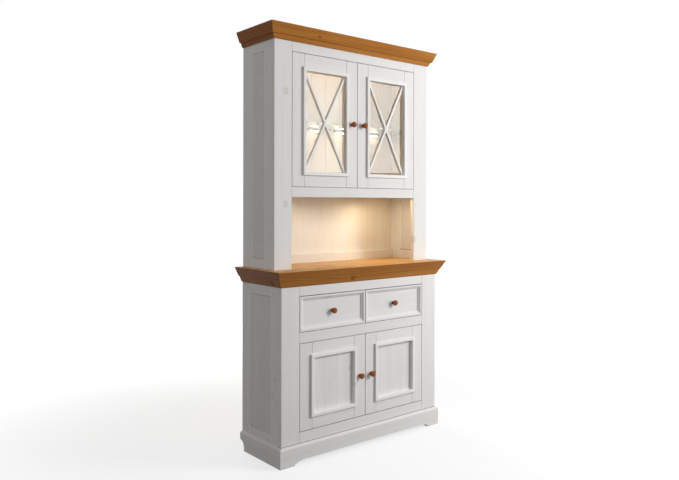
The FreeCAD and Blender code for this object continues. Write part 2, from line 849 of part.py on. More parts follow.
def build_lights():
    """Clip lights that grip the back edge of the glass shelf, and round lights in the niche ceiling."""
    clips = []
    for name, centre in (("far_left", "-outer_clip_offset"), ("left", "-inner_clip_offset"),
                         ("right", "inner_clip_offset"), ("far_right", "outer_clip_offset")):
        x = f"{centre} - clip_length / 2"
        housing = block(
            f"clip_{name}", (x, "glass_shelf_back - clip_grip", "glass_shelf_foot - clip_below"),
            ("clip_length", "clip_depth", "clip_below + glass_shelf_thickness + clip_above"))
        mouth = block(
            f"clip_mouth_{name}",
            (f"{x} - overrun", "glass_shelf_back - clip_grip - overrun", "glass_shelf_foot"),
            ("clip_length + 2 * overrun", "clip_grip + overrun", "glass_shelf_thickness"))
        clips.append(difference(f"clip_light_{name}", housing, mouth))
    add_node("shelf_lights", clips)
    profile = [
        ("0", "0"),
        ("spot_radius", "0"),
        ("spot_radius", "spot_bevel - spot_height"),
        ("spot_radius - spot_bevel", "-spot_height"),
        ("spot_lens_radius", "-spot_height"),
        ("spot_lens_radius", "spot_recess - spot_height"),
        ("0", "spot_recess - spot_height"),
    ]
    centre_y = "(hutch_inner_front + back_panel_face) / 2"
    level = "hutch_floor_top - hutch_floor_thickness"
    add_node("niche_lights", [
        revolved(f"spot_{name}", (x, centre_y, level), "XZ_Plane", profile, "V_Axis")
        for name, x in (("left", "-spot_offset"), ("right", "spot_offset"))
    ])


# Doors

def rebate_back(body, area):
    """Cuts the panel's seat into the back of a frame member."""
    outline = add_polygons(body, body.Label + "_rebate", "XZ_Plane", [area], "-frame_thickness")
    add_pocket(body, outline, "frame_thickness - panel_recess", backwards=True)


def bore_cups(body, centre, levels):
    """Bores the seats of the hinge cups into the back of a door stile."""
    outline = add_sketch(body, body.Label + "_cup_seats", "XZ_Plane", "-frame_thickness")
    radius = number("cup_radius + cup_play")
    for index, level in enumerate(levels):
        middle = Vector(number(centre), number(level), 0)
        outline.addGeometry(Part.Circle(middle, Vector(0, 0, 1), radius), False)
        constraint = outline.addConstraint(Sketcher.Constraint("Radius", index, radius))
        bind(outline, f"Constraints[{constraint}]", "cup_radius + cup_play")
        pin_point(outline, index, 3, centre, level)
    add_pocket(body, outline, "cup_depth + cup_play", backwards=True)


def build_door_frame(label, hand, corner, height, top_rail, bottom_rail):
    """Two stiles and two rails between them, with fine grooves where they meet."""
    x, y, z = corner
    field = f"{height} - {top_rail} - {bottom_rail}"
    low = f"{bottom_rail} - panel_rebate"
    high = f"{height} - {top_rail} + panel_rebate"
    stiles = []
    for side, start in (("left", x), ("right", f"{x} + door_width - door_stile")):
        stile = board(
            f"{label}_stile_{side}", (start, y, z), ("door_stile", "frame_thickness", height),
            "-Y", ["-X", "+X", "-Z", "+Z"])
        inner, outer = by_hand(
            side, ("door_stile - panel_rebate", "door_stile + overrun"), ("-overrun", "panel_rebate"))
        rebate_back(stile, rectangle(inner, low, outer, high))
        if side == hand:
            centre = by_hand(hand, "cup_inset", "door_stile - cup_inset")
            bore_cups(stile, centre, ["hinge_inset", f"{height} - hinge_inset"])
        stiles.append(stile)
    rails = []
    for side, start, width, seat in (
            ("bottom", z, bottom_rail, (f"{bottom_rail} - panel_rebate", f"{bottom_rail} + overrun")),
            ("top", f"{z} + {height} - {top_rail}", top_rail, ("-overrun", "panel_rebate"))):
        rail = board(
            f"{label}_rail_{side}", (f"{x} + door_stile", y, start),
            ("door_field_width", "frame_thickness", width), "-Y", ["-X", "+X", "-Z", "+Z"])
        rebate_back(rail, rectangle("-overrun", seat[0], "door_field_width + overrun", seat[1]))
        rails.append(rail)
    add_node(label + "_stiles", stiles)
    add_node(label + "_rails", rails)
    profile = [
        ("0", "0"),
        ("0", "moulding_projection - moulding_round"),
        ("moulding_round", "moulding_projection"),
        ("moulding_width - moulding_bevel_width", "moulding_projection"),
        ("moulding_width", "moulding_projection - moulding_bevel_depth"),
        ("moulding_width", "-panel_recess"),
        ("moulding_overlap", "-panel_recess"),
        ("moulding_overlap", "0"),
    ]
    add_node(label + "_moulding", mitred_frame(
        label + "_moulding",
        (f"{x} + door_stile - moulding_overlap", y, f"{z} + {bottom_rail} - moulding_overlap"),
        "door_field_width + 2 * moulding_overlap", f"({field}) + 2 * moulding_overlap",
        "moulding_width", "moulding_projection", profile))
    play = "panel_rebate - panel_play"
    seat_corner = (f"{x} + door_stile - ({play})", f"{y} + panel_recess", f"{z} + {bottom_rail} - ({play})")
    seat_size = (f"door_field_width + 2 * ({play})", f"({field}) + 2 * ({play})")
    return seat_corner, seat_size


def build_bars(label, hand, corner):
    """Two crossed glazing bars, fitted from corner to corner: one runs through and halves the other."""
    x, y, z = corner
    depth = "panel_recess - bar_recess"
    half = "bar_width / 2"
    profile = [
        (depth, f"-({half})"), (depth, half), ("bar_chamfer", half), ("0", f"{half} - bar_chamfer"),
        ("0", f"bar_chamfer - {half}"), ("bar_chamfer", f"-({half})"),
    ]
    field = block(
        label + "_field", (x, f"{y} - overrun", z), ("bars_width", f"{depth} + 2 * overrun", "bars_height"))
    centre = (f"{x} + bars_width / 2", y, f"{z} + bars_height / 2")
    bars = []
    for name, slope in zip(("through", "halved"), by_hand(hand, (-1, 1), (1, -1))):
        bar = new_body(f"{label}_{name}", centre, Rotation(Vector(0, slope, 0), 1))
        bind(bar, "Placement.Rotation.Angle", "atan(bars_height / bars_width)")
        section = add_polygons(bar, f"{label}_{name}_section", "YZ_Plane", [profile])
        add_pad(bar, section, "bars_diagonal + 2 * overrun").Midplane = True
        fitted = document.addObject("Part::Common", f"{label}_{name}_fitted")
        fitted.Base = bar
        fitted.Tool = field
        bars.append(fitted)
    add_node(label, [bars[0], difference(label + "_halves", bars[1], bars[0])])


def build_knob(label, centre):
    """A turned knob: a flattened ball on a short waisted neck. It points to -Y from the seat's centre."""
    body = new_body(label, centre, Rotation(Vector(0, 0, 1), 180))
    outline = add_sketch(body, label + "_profile", "XY_Plane")
    seat = Vector(number("knob_seat_radius"), 0, 0)
    rim = Vector(number("knob_seat_radius"), number("knob_seat_height"), 0)
    neck_radius = number("knob_neck_radius")
    crown_height = number("knob_head_crown")
    cheek_centre = Vector(neck_radius, number("knob_head_level"), 0)
    cheek = Vector(number("knob_head_radius") - neck_radius, 0, 0)
    neck = cheek_centre - Vector(0, cheek.x, 0)
    waist = (rim + neck) / 2 + (rim - neck).cross(Vector(0, 0, 1)) * number("knob_waist_share")
    # the crown's arc runs on smoothly from the cheek's
    reach = neck_radius ** 2 + crown_height ** 2 - cheek.x ** 2
    crown_radius = reach / (crown_height - cheek.x) / 2
    crest = Vector(0, cheek_centre.y + crown_height, 0)
    crown_centre = crest - Vector(0, crown_radius, 0)
    lean = (cheek_centre - crown_centre).normalize()
    brow = crown_centre + (lean + Vector(0, 1, 0)).normalize() * crown_radius
    outline.addGeometry([
        Part.LineSegment(Vector(), seat),
        Part.LineSegment(seat, rim),
        Part.Arc(rim, waist, neck),
        Part.Arc(neck, cheek_centre + cheek, crown_centre + lean * crown_radius),
        Part.Arc(crown_centre + lean * crown_radius, brow, crest),
        Part.LineSegment(crest, Vector()),
    ], False)
    turned = body.newObject("PartDesign::Revolution", label + "_turned")
    turned.Profile = outline
    turned.ReferenceAxis = (outline, ["V_Axis"])
    body.Tip = turned
    add_node(label, [body])


def build_hinge_cups(label, hand, corner, height):
    """Steel cups let into the back of the hinge stile, each with its fixing flange."""
    x, y, z = corner
    centre_x = by_hand(hand, f"{x} + cup_inset", f"{x} + door_width - cup_inset")
    back = f"{y} + frame_thickness"
    lying = Rotation(Vector(1, 0, 0), -90)
    cups = []
    for name, level in (("lower", f"{z} + hinge_inset"), ("upper", f"{z} + {height} - hinge_inset")):
        shell = cylinder(f"{label}_{name}_shell", (centre_x, f"{back} - cup_depth", level),
                         "cup_radius", "cup_depth", lying)
        rim = cylinder(f"{label}_{name}_rim", (centre_x, back, level), "cup_radius + cup_rim",
                       "flange_thickness", lying)
        flange = block(
            f"{label}_{name}_flange",
            (f"{centre_x} - flange_width / 2", back, f"{level} - flange_length / 2"),
            ("flange_width", "flange_thickness", "flange_length"))
        whole = document.addObject("Part::MultiFuse", f"{label}_{name}_whole")
        whole.Shapes = [shell, rim, flange]
        hollow = cylinder(
            f"{label}_{name}_hollow", (centre_x, f"{back} - cup_depth + cup_wall", level),
            "cup_radius - cup_wall", "cup_depth - cup_wall + flange_thickness + overrun", lying)
        cups.append(difference(f"{label}_{name}", whole, hollow))
    add_node(label, cups)


def hinge_arm(label, hand, face, level):
    """An arm that lies on the back of the face frame and reaches over a hinge cup."""
    sign = by_hand(hand, "1", "-1")
    edge = by_hand(hand, "-opening_half", "opening_half")
    body = new_body(label, (edge, f"{face} + frame_thickness", f"{level} - arm_width / 2"))
    near = "flange_thickness + hinge_play"
    far = "arm_thickness"
    plan = [
        ("-arm_back_length", "0"), ("-arm_offset", "0"), ("-arm_offset", near), ("arm_reach", near),
        ("arm_reach", far), ("-arm_back_length", far),
    ]
    outline = add_polygons(body, label + "_plan", "XY_Plane", [[(f"{sign} * ({u})", v) for u, v in plan]])
    add_pad(body, outline, "arm_width")
    return body


def build_doors():
    arms = []
    doors = [
        ("base", "base_front", "base_bottom_rail_top", "base_door_height",
         "base_door_rail", "base_door_rail"),
        ("hutch", "hutch_front", "hutch_door_foot", "hutch_door_height",
         "hutch_door_top_rail", "hutch_door_bottom_rail"),
    ]
    for cupboard, face, opening_foot, height, top_rail, bottom_rail in doors:
        for hand in ("left", "right"):
            label = f"{cupboard}_door_{hand}"
            x = by_hand(hand, "door_gap - opening_half", "door_meeting_gap / 2")
            z = f"{opening_foot} + door_gap"
            corner = (x, face, z)
            seat, size = build_door_frame(label, hand, corner, height, top_rail, bottom_rail)
            width, tall = size
            if cupboard == "base":
                panel = block(label + "_panel", seat, (width, "panel_thickness", tall))
                add_node(label + "_panel", [panel])
            else:
                pane = block(label + "_glass", seat, (width, "glass_thickness", tall))
                add_node(label + "_glass", [pane])
                build_bars(label + "_bars", hand, (
                    f"{x} + door_stile + moulding_inside", f"{face} + bar_recess",
                    f"{z} + {bottom_rail} + moulding_inside"))
            knob_x = by_hand(hand, f"{x} + door_width - door_stile / 2", f"{x} + door_stile / 2")
            build_knob(label + "_knob", (knob_x, face, f"{z} + {height} / 2"))
            build_hinge_cups(label + "_hinge_cups", hand, corner, height)
            for name, level in (("lower", f"{z} + hinge_inset"), ("upper", f"{z} + {height} - hinge_inset")):
                arms.append(hinge_arm(f"{label}_arm_{name}", hand, face, level))
    add_node("hinge_arms", arms)


# Drawers

def build_drawers():
    rim = [
        ("0", "0"),
        ("0", "drawer_rim_height"),
        ("drawer_lip", "drawer_rim_height"),
        ("drawer_lip", "drawer_rim_height - drawer_rim_step"),
        ("drawer_rim_width", "drawer_rim_step"),
        ("drawer_rim_width", "0"),
    ]
    for hand in ("left", "right"):
        label = f"drawer_{hand}"
        x = by_hand(hand, "door_gap - opening_half", "door_meeting_gap / 2")
        z = "drawer_level + door_gap"
        field_y = "base_front + drawer_rim_height"
        back_board = block(
            label + "_board", (x, field_y, z),
            ("door_width", "drawer_board_thickness", "drawer_front_height"))
        strips = mitred_frame(
            label + "_rim", (x, field_y, z), "door_width", "drawer_front_height", "drawer_rim_width",
            "drawer_rim_height", rim)
        add_node(label + "_front", [back_board] + strips)
        build_knob(label + "_knob", (f"{x} + door_width / 2", field_y, f"{z} + drawer_front_height / 2"))
        build_drawer_box(label, by_hand(
            hand, "drawer_side_play - opening_half", "partition_half + drawer_side_play"))


def build_drawer_box(label, x):
    """Two sides grooved outside for the runner and inside for the bottom, and a back over the bottom."""
    bottom_low = "drawer_bottom_lift"
    bottom_high = "drawer_bottom_lift + drawer_bottom_thickness"
    runner_low = "drawer_box_height / 2 - runner_height / 2 - runner_play"
    runner_high = "drawer_box_height / 2 + runner_height / 2 + runner_play"
    section = [
        ("0", "0"), ("0", runner_low), ("groove_depth", runner_low), ("groove_depth", runner_high),
        ("0", runner_high), ("0", "drawer_box_height"), ("drawer_side_thickness", "drawer_box_height"),
        ("drawer_side_thickness", bottom_high),
        ("drawer_side_thickness - drawer_bottom_groove", bottom_high),
        ("drawer_side_thickness - drawer_bottom_groove", bottom_low),
        ("drawer_side_thickness", bottom_low), ("drawer_side_thickness", "0"),
    ]
    mirrored = [(f"-({u})", v) for u, v in section]
    pieces = []
    for name, start, points in (("left", x, section), ("right", f"{x} + drawer_box_width", mirrored)):
        side = new_body(f"{label}_side_{name}", (start, "drawer_box_front", "drawer_box_foot"))
        outline = add_polygons(side, f"{label}_side_{name}_section", "XZ_Plane", [points])
        add_pad(side, outline, "drawer_box_length", backwards=True)
        pieces.append(side)
    pieces.append(block(
        label + "_back",
        (f"{x} + drawer_side_thickness", "drawer_box_front + drawer_box_length - drawer_side_thickness",
         f"drawer_box_foot + {bottom_high}"),
        ("drawer_box_width - 2 * drawer_side_thickness", "drawer_side_thickness",
         f"drawer_box_height - ({bottom_high})")))
    add_node(label + "_box", pieces)
    add_node(label + "_bottom", [block(
        label + "_bottom",
        (f"{x} + drawer_side_thickness - drawer_bottom_groove", "drawer_box_front",
         f"drawer_box_foot + {bottom_low}"),
        ("drawer_box_width - 2 * (drawer_side_thickness - drawer_bottom_groove)", "drawer_box_length",
         "drawer_bottom_thickness"))])


# Assembly

def failed(item):
    return any(state in ("Invalid", "Error") for state in item.State)


def write_nodes():
    os.makedirs("parts", exist_ok=True)
    broken = [item.Label for item in document.Objects if failed(item)]
    broken += [node.Label for node in NODES if node.Shape.isNull() or not node.Shape.isValid()]
    if broken:
        raise ValueError("failed pieces: " + ", ".join(broken))
    for node in NODES:
        node.Shape.exportStep(f"parts/{node.Label}.step")
    print(len(NODES), "nodes,", sum(len(node.Shape.Solids) for node in NODES), "solids")


build_plinth()
build_base()
build_drawer_guides()
build_worktop()
build_hutch()
build_hutch_back()
build_cornice()
build_shelf_pins()
build_lights()
build_doors()
build_drawers()
document.recompute()
write_nodes()
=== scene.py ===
import math
import bmesh
import bpy
from mathutils import Matrix, Vector


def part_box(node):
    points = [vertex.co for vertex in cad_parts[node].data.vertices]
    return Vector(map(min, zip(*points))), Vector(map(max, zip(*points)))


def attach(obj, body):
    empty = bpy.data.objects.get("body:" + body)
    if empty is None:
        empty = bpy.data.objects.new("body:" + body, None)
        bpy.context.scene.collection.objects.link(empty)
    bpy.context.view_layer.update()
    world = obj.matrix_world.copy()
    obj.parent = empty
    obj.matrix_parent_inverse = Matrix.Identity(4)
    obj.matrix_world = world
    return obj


# A two-part buffet cabinet in white-washed pine, with worktop, cornice and knobs in honey-coloured pine.
# Metres, +Z up, the front faces -Y.

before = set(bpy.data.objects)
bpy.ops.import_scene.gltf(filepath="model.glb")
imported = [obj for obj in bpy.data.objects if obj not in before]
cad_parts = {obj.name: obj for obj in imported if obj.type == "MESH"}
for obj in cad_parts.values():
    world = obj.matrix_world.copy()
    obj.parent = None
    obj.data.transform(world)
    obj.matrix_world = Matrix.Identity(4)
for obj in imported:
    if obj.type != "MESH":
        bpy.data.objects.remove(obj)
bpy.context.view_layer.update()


# Shader wiring

def linear(red, green, blue):
    """A colour given as it is seen on a screen, 0 to 255, as the shader wants it."""
    channels = [value / 255 for value in (red, green, blue)]
    return tuple(((c + 0.055) / 1.055) ** 2.4 if c > 0.04045 else c / 12.92 for c in channels) + (1.0,)


class Wiring:
    """Adds nodes to a shader tree. Each input is another node's output or a plain value."""

    def __init__(self, tree):
        self.tree = tree

    def plug(self, socket, value):
        if isinstance(value, bpy.types.NodeSocket):
            self.tree.links.new(value, socket)
        else:
            socket.default_value = value

    def node(self, kind, inputs=None, **settings):
        item = self.tree.nodes.new("ShaderNode" + kind)
        for name, value in settings.items():
            setattr(item, name, value)
        for key, value in (inputs or {}).items():
            self.plug(item.inputs[key], value)
        return item

    def math(self, operation, *values):
        return self.node("Math", dict(enumerate(values)), operation=operation).outputs[0]

    def chain(self, operation, values):
        result = values[0]
        for value in values[1:]:
            result = self.math(operation, result, value)
        return result

    def total(self, *values):
        return self.chain("ADD", values)

    def scaled(self, *values):
        return self.chain("MULTIPLY", values)

    def beyond(self, value, centre, half):
        """How far a value lies past half a width from a centre, below 0 nearer to it."""
        return self.math("SUBTRACT", self.math("ABSOLUTE", self.math("SUBTRACT", value, centre)), half)

    def outside(self, value, low, high):
        """How far a value lies outside a span, below 0 within it."""
        return self.math("MAXIMUM", self.math("SUBTRACT", low, value), self.math("SUBTRACT", value, high))

    def split(self, vector):
        return self.node("SeparateXYZ", {0: vector}).outputs

    def reach(self, vector, direction):
        """How far a vector goes along a direction."""
        return self.node("VectorMath", {0: vector, 1: direction}, operation="DOT_PRODUCT").outputs["Value"]

    def unsigned(self, vector):
        """The three parts of a vector without their signs."""
        return [self.math("ABSOLUTE", part) for part in self.split(vector)]

    def join(self, x, y, z):
        return self.node("CombineXYZ", {0: x, 1: y, 2: z}).outputs[0]

    def mix(self, factor, first, second):
        return self.node("Mix", {0: factor, 6: first, 7: second}, data_type="RGBA").outputs[2]

    def choose(self, factor, first, second):
        return self.node("Mix", {0: factor, 4: first, 5: second}, data_type="VECTOR").outputs[1]

    def fade(self, value, start, end, low=0.0, high=1.0):
        spans = {0: value, 1: start, 2: end, 3: low, 4: high}
        return self.node("MapRange", spans, interpolation_type="SMOOTHSTEP").outputs[0]

    def noise(self, vector, scale=1.0, detail=2.0, roughness=0.5):
        settings = {"Vector": vector, "Scale": scale, "Detail": detail, "Roughness": roughness}
        return self.node("TexNoise", settings).outputs[0]


def new_group(name, inputs, outputs):
    """A node group from its named inputs, each with a kind and a default, and its named outputs."""
    tree = bpy.data.node_groups.new(name, "ShaderNodeTree")
    for label, kind, default in inputs:
        socket = tree.interface.new_socket(name=label, in_out="INPUT", socket_type="NodeSocket" + kind)
        if default is not None:
            socket.default_value = default
    for label, kind in outputs:
        tree.interface.new_socket(name=label, in_out="OUTPUT", socket_type="NodeSocket" + kind)
    source = tree.nodes.new("NodeGroupInput").outputs
    sink = tree.nodes.new("NodeGroupOutput").inputs
    return tree, Wiring(tree), source, sink


def use(wiring, tree, **inputs):
    """Places a node group and gives its outputs."""
    item = wiring.node("Group")
    item.node_tree = tree
    for label, value in inputs.items():
        wiring.plug(item.inputs[label.replace("_", " ")], value)
    return item.outputs


# Tones and measures

# Light wood, dark wood and knots
HONEY = (linear(196, 132, 62), linear(142, 84, 32), linear(114, 60, 24))
# Darker tones for faces that look sideways: painted shade
HONEY_SIDE_SHADED = (linear(172, 108, 46), linear(120, 66, 24), linear(98, 50, 20))
# Lighter tones for level faces: the top boards' own paler tone, and painted light
HONEY_TOP_PARTLY_LIT = (linear(224, 174, 108), linear(182, 128, 68), linear(128, 76, 38))
TURNED = (linear(168, 96, 38), linear(114, 58, 20), linear(80, 38, 14))
NATURAL = (linear(226, 192, 142), linear(204, 160, 110), linear(140, 92, 52))
# Glazes, then what shows through where they are thin or worn, with painted light and shade among them
WASH = linear(238, 237, 236)
# A warmer glaze: partly the boarding's own tone, partly painted warm light from the cabinet's lamps
WASH_WARM_AND_LAMPLIT = linear(238, 230, 216)
# A brighter glaze: painted highlight and painted light
WASH_HIGHLIGHT = linear(250, 249, 246)
WASH_THIN = linear(218, 209, 201)
# Rubbed edges, and painted shade in the level seams of the sides
WASH_WORN_AND_SEAM_SHADE = linear(168, 146, 130)
WASH_KNOT = linear(198, 182, 166)
# Painted shade in the gaps and the shadow line over the plinth
GAP_SHADE = linear(64, 55, 48)
BLACK = (0.0, 0.0, 0.0, 1.0)
WHITE = (1.0, 1.0, 1.0, 1.0)

SIDEWAYS = (1.0, 0.0, 0.0)
BACKWARDS = (0.0, 1.0, 0.0)
UPWARDS = (0.0, 0.0, 1.0)

WASHED_RINGS = 0.0055     # width of a growth ring
PLAIN_RINGS = 0.0062
WASHED_KNOTS = 0.07       # share of the places for a knot that hold one
LAMELLA = 0.09            # width of the strips that boards are glued from
ARRIS_SHADE_DEPTH = 0.006       # how far back the painted shade of the gap reaches on the outer arris of a drawer front
PANEL_SHADE = 0.11        # how much darker the panel of a framed side is
FOOT_SHADE = 0.75         # how dark the painted shadow line over the plinth is


# Node groups. Grain coordinates run along the board, across it and into it.

POINT = ("Vector", "Vector", None)
NORMAL = ("Normal", "Vector", None)
FRONT_SPAN = [("Centre X", "Float", 0.0), ("Centre Z", "Float", 1.0),
              ("Half Width", "Float", 0.2), ("Half Height", "Float", 0.2)]
SIDE_SPAN = [("Front", "Float", 0.0), ("Back", "Float", 0.1), ("Low", "Float", 0.1), ("High", "Float", 0.8)]
FIGURE = [("Rings", "Float"), ("Fibre", "Float"), ("Streak", "Float"), ("Knot", "Float"), ("Tone", "Float")]
FIGURE_GIVEN = [(label, kind, 0.0) for label, kind in FIGURE]
GRAIN = [("Vector", "Vector")]
MASK = [("Mask", "Float")]
COLOUR = [("Colour", "Color")]


def make_pine_figure():
    """Growth rings, fibre, streaks and knots of boards side by side, each from its own place in the tree."""
    tree, w, given, out = new_group(
        "pine_figure",
        [POINT, ("Board Width", "Float", 1.0), ("Ring Width", "Float", 0.005), ("Knot Share", "Float", 0.3)],
        [*FIGURE, ("Relief", "Float")])
    along, across, depth = w.split(given["Vector"])
    board = w.math("FLOOR", w.math("DIVIDE", across, given["Board Width"]))
    chance = w.split(w.node("TexWhiteNoise", {"W": board}, noise_dimensions="1D").outputs["Color"])
    along = w.total(along, w.scaled(chance[0], 9.0))
    middle = w.scaled(w.total(board, 0.5), given["Board Width"])
    # The pith wanders slowly along the board, and the wood shakes a little round it.
    wander = w.total(w.noise(w.join(w.scaled(along, 1.3), w.scaled(chance[2], 20.0), 0.0), 1.0, 1.0), -0.5)
    shake = w.total(w.noise(w.join(w.scaled(along, 7.0), w.scaled(across, 26.0), depth), 1.0, 2.0), -0.5)
    off_middle = w.scaled(w.total(chance[1], -0.5), 0.09)
    pith = w.total(middle, off_middle, w.scaled(wander, 0.05), w.scaled(shake, 0.005))
    sideways = w.math("SUBTRACT", across, pith)
    inwards = w.total(depth, 0.025, w.scaled(chance[2], 0.05), w.scaled(wander, 0.04))
    # One cell in some holds a knot with a ragged rim, and the rings swell round it.
    cells = w.node(
        "TexVoronoi", {"Vector": w.join(w.scaled(along, 0.8), across, 0.0), "Scale": 7.0, "Randomness": 1.0},
        voronoi_dimensions="2D").outputs
    odds = w.split(cells["Color"])
    kept = w.math("LESS_THAN", odds[0], given["Knot Share"])
    size = w.total(0.03, w.scaled(odds[1], 0.07))
    ragged = w.total(w.noise(w.join(w.scaled(along, 90.0), w.scaled(across, 90.0), 0.0), 1.0, 2.0), 0.5)
    near = w.scaled(w.math("DIVIDE", cells["Distance"], size), ragged)
    knot = w.scaled(kept, w.fade(near, 1.5, 0.75), w.fade(near, 0.1, 0.9, 0.6, 1.0))
    swell = w.scaled(kept, w.fade(near, 5.0, 0.6), 0.008)
    radius = w.total(
        w.math("SQRT", w.total(w.scaled(sideways, sideways), w.scaled(inwards, inwards))), swell)
    # The late wood darkens towards the end of each ring.
    turn = w.math("FRACT", w.math("DIVIDE", radius, given["Ring Width"]))
    late = w.math("MULTIPLY", w.math("POWER", turn, 2.2), w.fade(turn, 1.0, 0.93))
    hair = w.noise(
        w.join(w.scaled(along, 9.0), w.scaled(across, 620.0), w.scaled(depth, 620.0)), 1.0, 3.0, 0.65)
    streak = w.noise(
        w.join(w.scaled(along, 1.4), w.scaled(across, 48.0), w.scaled(depth, 48.0)), 1.0, 4.0, 0.6)
    drift = w.noise(w.join(w.scaled(along, 1.5), w.scaled(across, 7.0), depth), 1.0, 2.0)
    w.plug(out["Rings"], late)
    w.plug(out["Fibre"], hair)
    w.plug(out["Streak"], w.fade(streak, 0.25, 0.75))
    w.plug(out["Knot"], knot)
    w.plug(out["Tone"], w.total(w.scaled(chance[1], 0.6), w.scaled(drift, 0.4)))
    w.plug(out["Relief"], w.total(w.scaled(late, 0.6), hair, w.scaled(knot, 0.4)))
    return tree


def make_wood_tones():
    """Bare or waxed pine: darker late wood, boards of differing tone, red-brown knots."""
    tree, w, given, out = new_group(
        "wood_tones",
        [*FIGURE_GIVEN, ("Light", "Color", None), ("Dark", "Color", None), ("Knot Tone", "Color", None)],
        COLOUR)
    depth = w.total(
        w.scaled(given["Rings"], 0.6), w.scaled(given["Fibre"], 0.35), w.scaled(given["Streak"], 0.5), -0.28)
    colour = w.mix(w.fade(depth, 0.0, 1.0), given["Light"], given["Dark"])
    colour = w.mix(w.fade(given["Tone"], 0.3, 0.9, 0.0, 0.5), colour, given["Dark"])
    w.plug(out["Colour"], w.mix(w.scaled(given["Knot"], 0.8), colour, given["Knot Tone"]))
    return tree


def make_brushed_glaze():
    """White glaze over brushed pine: late wood and knots show through faintly."""
    tree, w, given, out = new_group("brushed_glaze", [*FIGURE_GIVEN, ("Glaze", "Color", None)], COLOUR)
    thin = w.total(w.scaled(given["Rings"], 0.18), w.scaled(given["Fibre"], 0.36),
                   w.scaled(given["Streak"], 0.28), w.scaled(given["Tone"], 0.2), -0.33)
    colour = w.mix(w.fade(thin, -0.1, 0.95), given["Glaze"], WASH_THIN)
    w.plug(out["Colour"], w.mix(w.scaled(given["Knot"], 0.4), colour, WASH_KNOT))
    return tree


def make_frame_grain():
    """Grain coordinates of a mitred frame that faces the front: upright in the stiles, level in the rails."""
    tree, w, given, out = new_group("mitred_frame_grain", [POINT, *FRONT_SPAN], GRAIN)
    x, y, z = w.split(given["Vector"])
    sideways = w.beyond(x, given["Centre X"], given["Half Width"])
    upwards = w.beyond(z, given["Centre Z"], given["Half Height"])
    upright = w.math("GREATER_THAN", sideways, w.math("MAXIMUM", upwards, -0.0005))
    w.plug(out["Vector"], w.choose(upright, w.join(x, z, y), w.join(z, x, y)))
    return tree


def make_side_grain():
    """Grain coordinates of a framed side: level in the two rails, upright in the stiles and the panel."""
    tree, w, given, out = new_group("framed_side_grain", [POINT, *SIDE_SPAN], GRAIN)
    x, y, z = w.split(given["Vector"])
    between_stiles = w.math("LESS_THAN", w.outside(y, given["Front"], given["Back"]), 0.0)
    past_panel = w.math("GREATER_THAN", w.outside(z, given["Low"], given["High"]), 0.0)
    rail = w.scaled(between_stiles, past_panel)
    w.plug(out["Vector"], w.choose(rail, w.join(z, y, x), w.join(y, z, x)))
    return tree


def make_framed_panel():
    """Picks out a framed side's panel, the arrises of its upright seams, where a highlight is painted, and
    its level seams, where shade is painted.
    """
    tree, w, given, out = new_group(
        "framed_panel", [POINT, *SIDE_SPAN],
        [("Field", "Float"), ("Upright Seam Highlight", "Float"), ("Level Seam Shade", "Float")])
    _, y, z = w.split(given["Vector"])
    sideways = w.outside(y, given["Front"], given["Back"])
    upwards = w.outside(z, given["Low"], given["High"])
    inside = w.math("LESS_THAN", sideways, 0.0)
    w.plug(out["Field"], w.scaled(inside, w.math("LESS_THAN", upwards, 0.0)))
    w.plug(out["Upright Seam Highlight"], w.fade(w.math("ABSOLUTE", sideways), 0.0028, 0.0018))
    w.plug(out["Level Seam Shade"], w.scaled(inside, w.fade(w.math("ABSOLUTE", upwards), 0.0026, 0.0016)))
    return tree


def make_crown_grain():
    """Grain coordinates of strips mitred round the front and sides."""
    tree, w, given, out = new_group(
        "mitred_crown_grain", [POINT, ("Half Width", "Float", 0.5), ("Front", "Float", -0.1)], GRAIN)
    x, y, z = w.split(given["Vector"])
    sideways = w.beyond(x, 0.0, given["Half Width"])
    forwards = w.math("SUBTRACT", given["Front"], y)
    side = w.math("GREATER_THAN", sideways, forwards)
    w.plug(out["Vector"], w.choose(side, w.join(x, z, y), w.join(y, z, x)))
    return tree


def make_board_edge_grain():
    """Grain of a glued board: along X on its flat faces, round the edges on the lipping."""
    tree, w, given, out = new_group("lipped_board_grain", [POINT, ("Edges", "Vector", None), NORMAL], GRAIN)
    flat = w.math("GREATER_THAN", w.math("ABSOLUTE", w.split(given["Normal"])[2]), 0.85)
    w.plug(out["Vector"], w.choose(flat, given["Edges"], given["Vector"]))
    return tree


def make_eased_edges():
    """Picks out the narrow chamfers of boards that lie square to the axes, more in some places than others,
    for wear, and on the framed sides for a painted highlight.
    """
    tree, w, given, out = new_group("eased_edges", [POINT, NORMAL], MASK)
    largest = w.chain("MAXIMUM", w.unsigned(given["Normal"]))
    patchy = w.fade(w.noise(given["Vector"], 11.0, 2.0), 0.3, 0.7, 0.45, 1.0)
    w.plug(out["Mask"], w.scaled(w.fade(largest, 0.95, 0.8), patchy))
    return tree


def make_front_gap_shade():
    """Picks out the outer arris round a front, where the shade of the gap is painted, from its middle, its
    half size and how far back it goes.
    """
    tree, w, given, out = new_group("front_gap_shade", [POINT, *FRONT_SPAN, ("Back", "Float", -0.14)], MASK)
    x, y, z = w.split(given["Vector"])
    sideways = w.beyond(x, given["Centre X"], given["Half Width"])
    upwards = w.beyond(z, given["Centre Z"], given["Half Height"])
    shaded_rim = w.fade(w.math("MAXIMUM", sideways, upwards), -0.0006, -0.0001)
    w.plug(out["Mask"], w.scaled(shaded_rim, w.math("LESS_THAN", y, given["Back"])))
    return tree


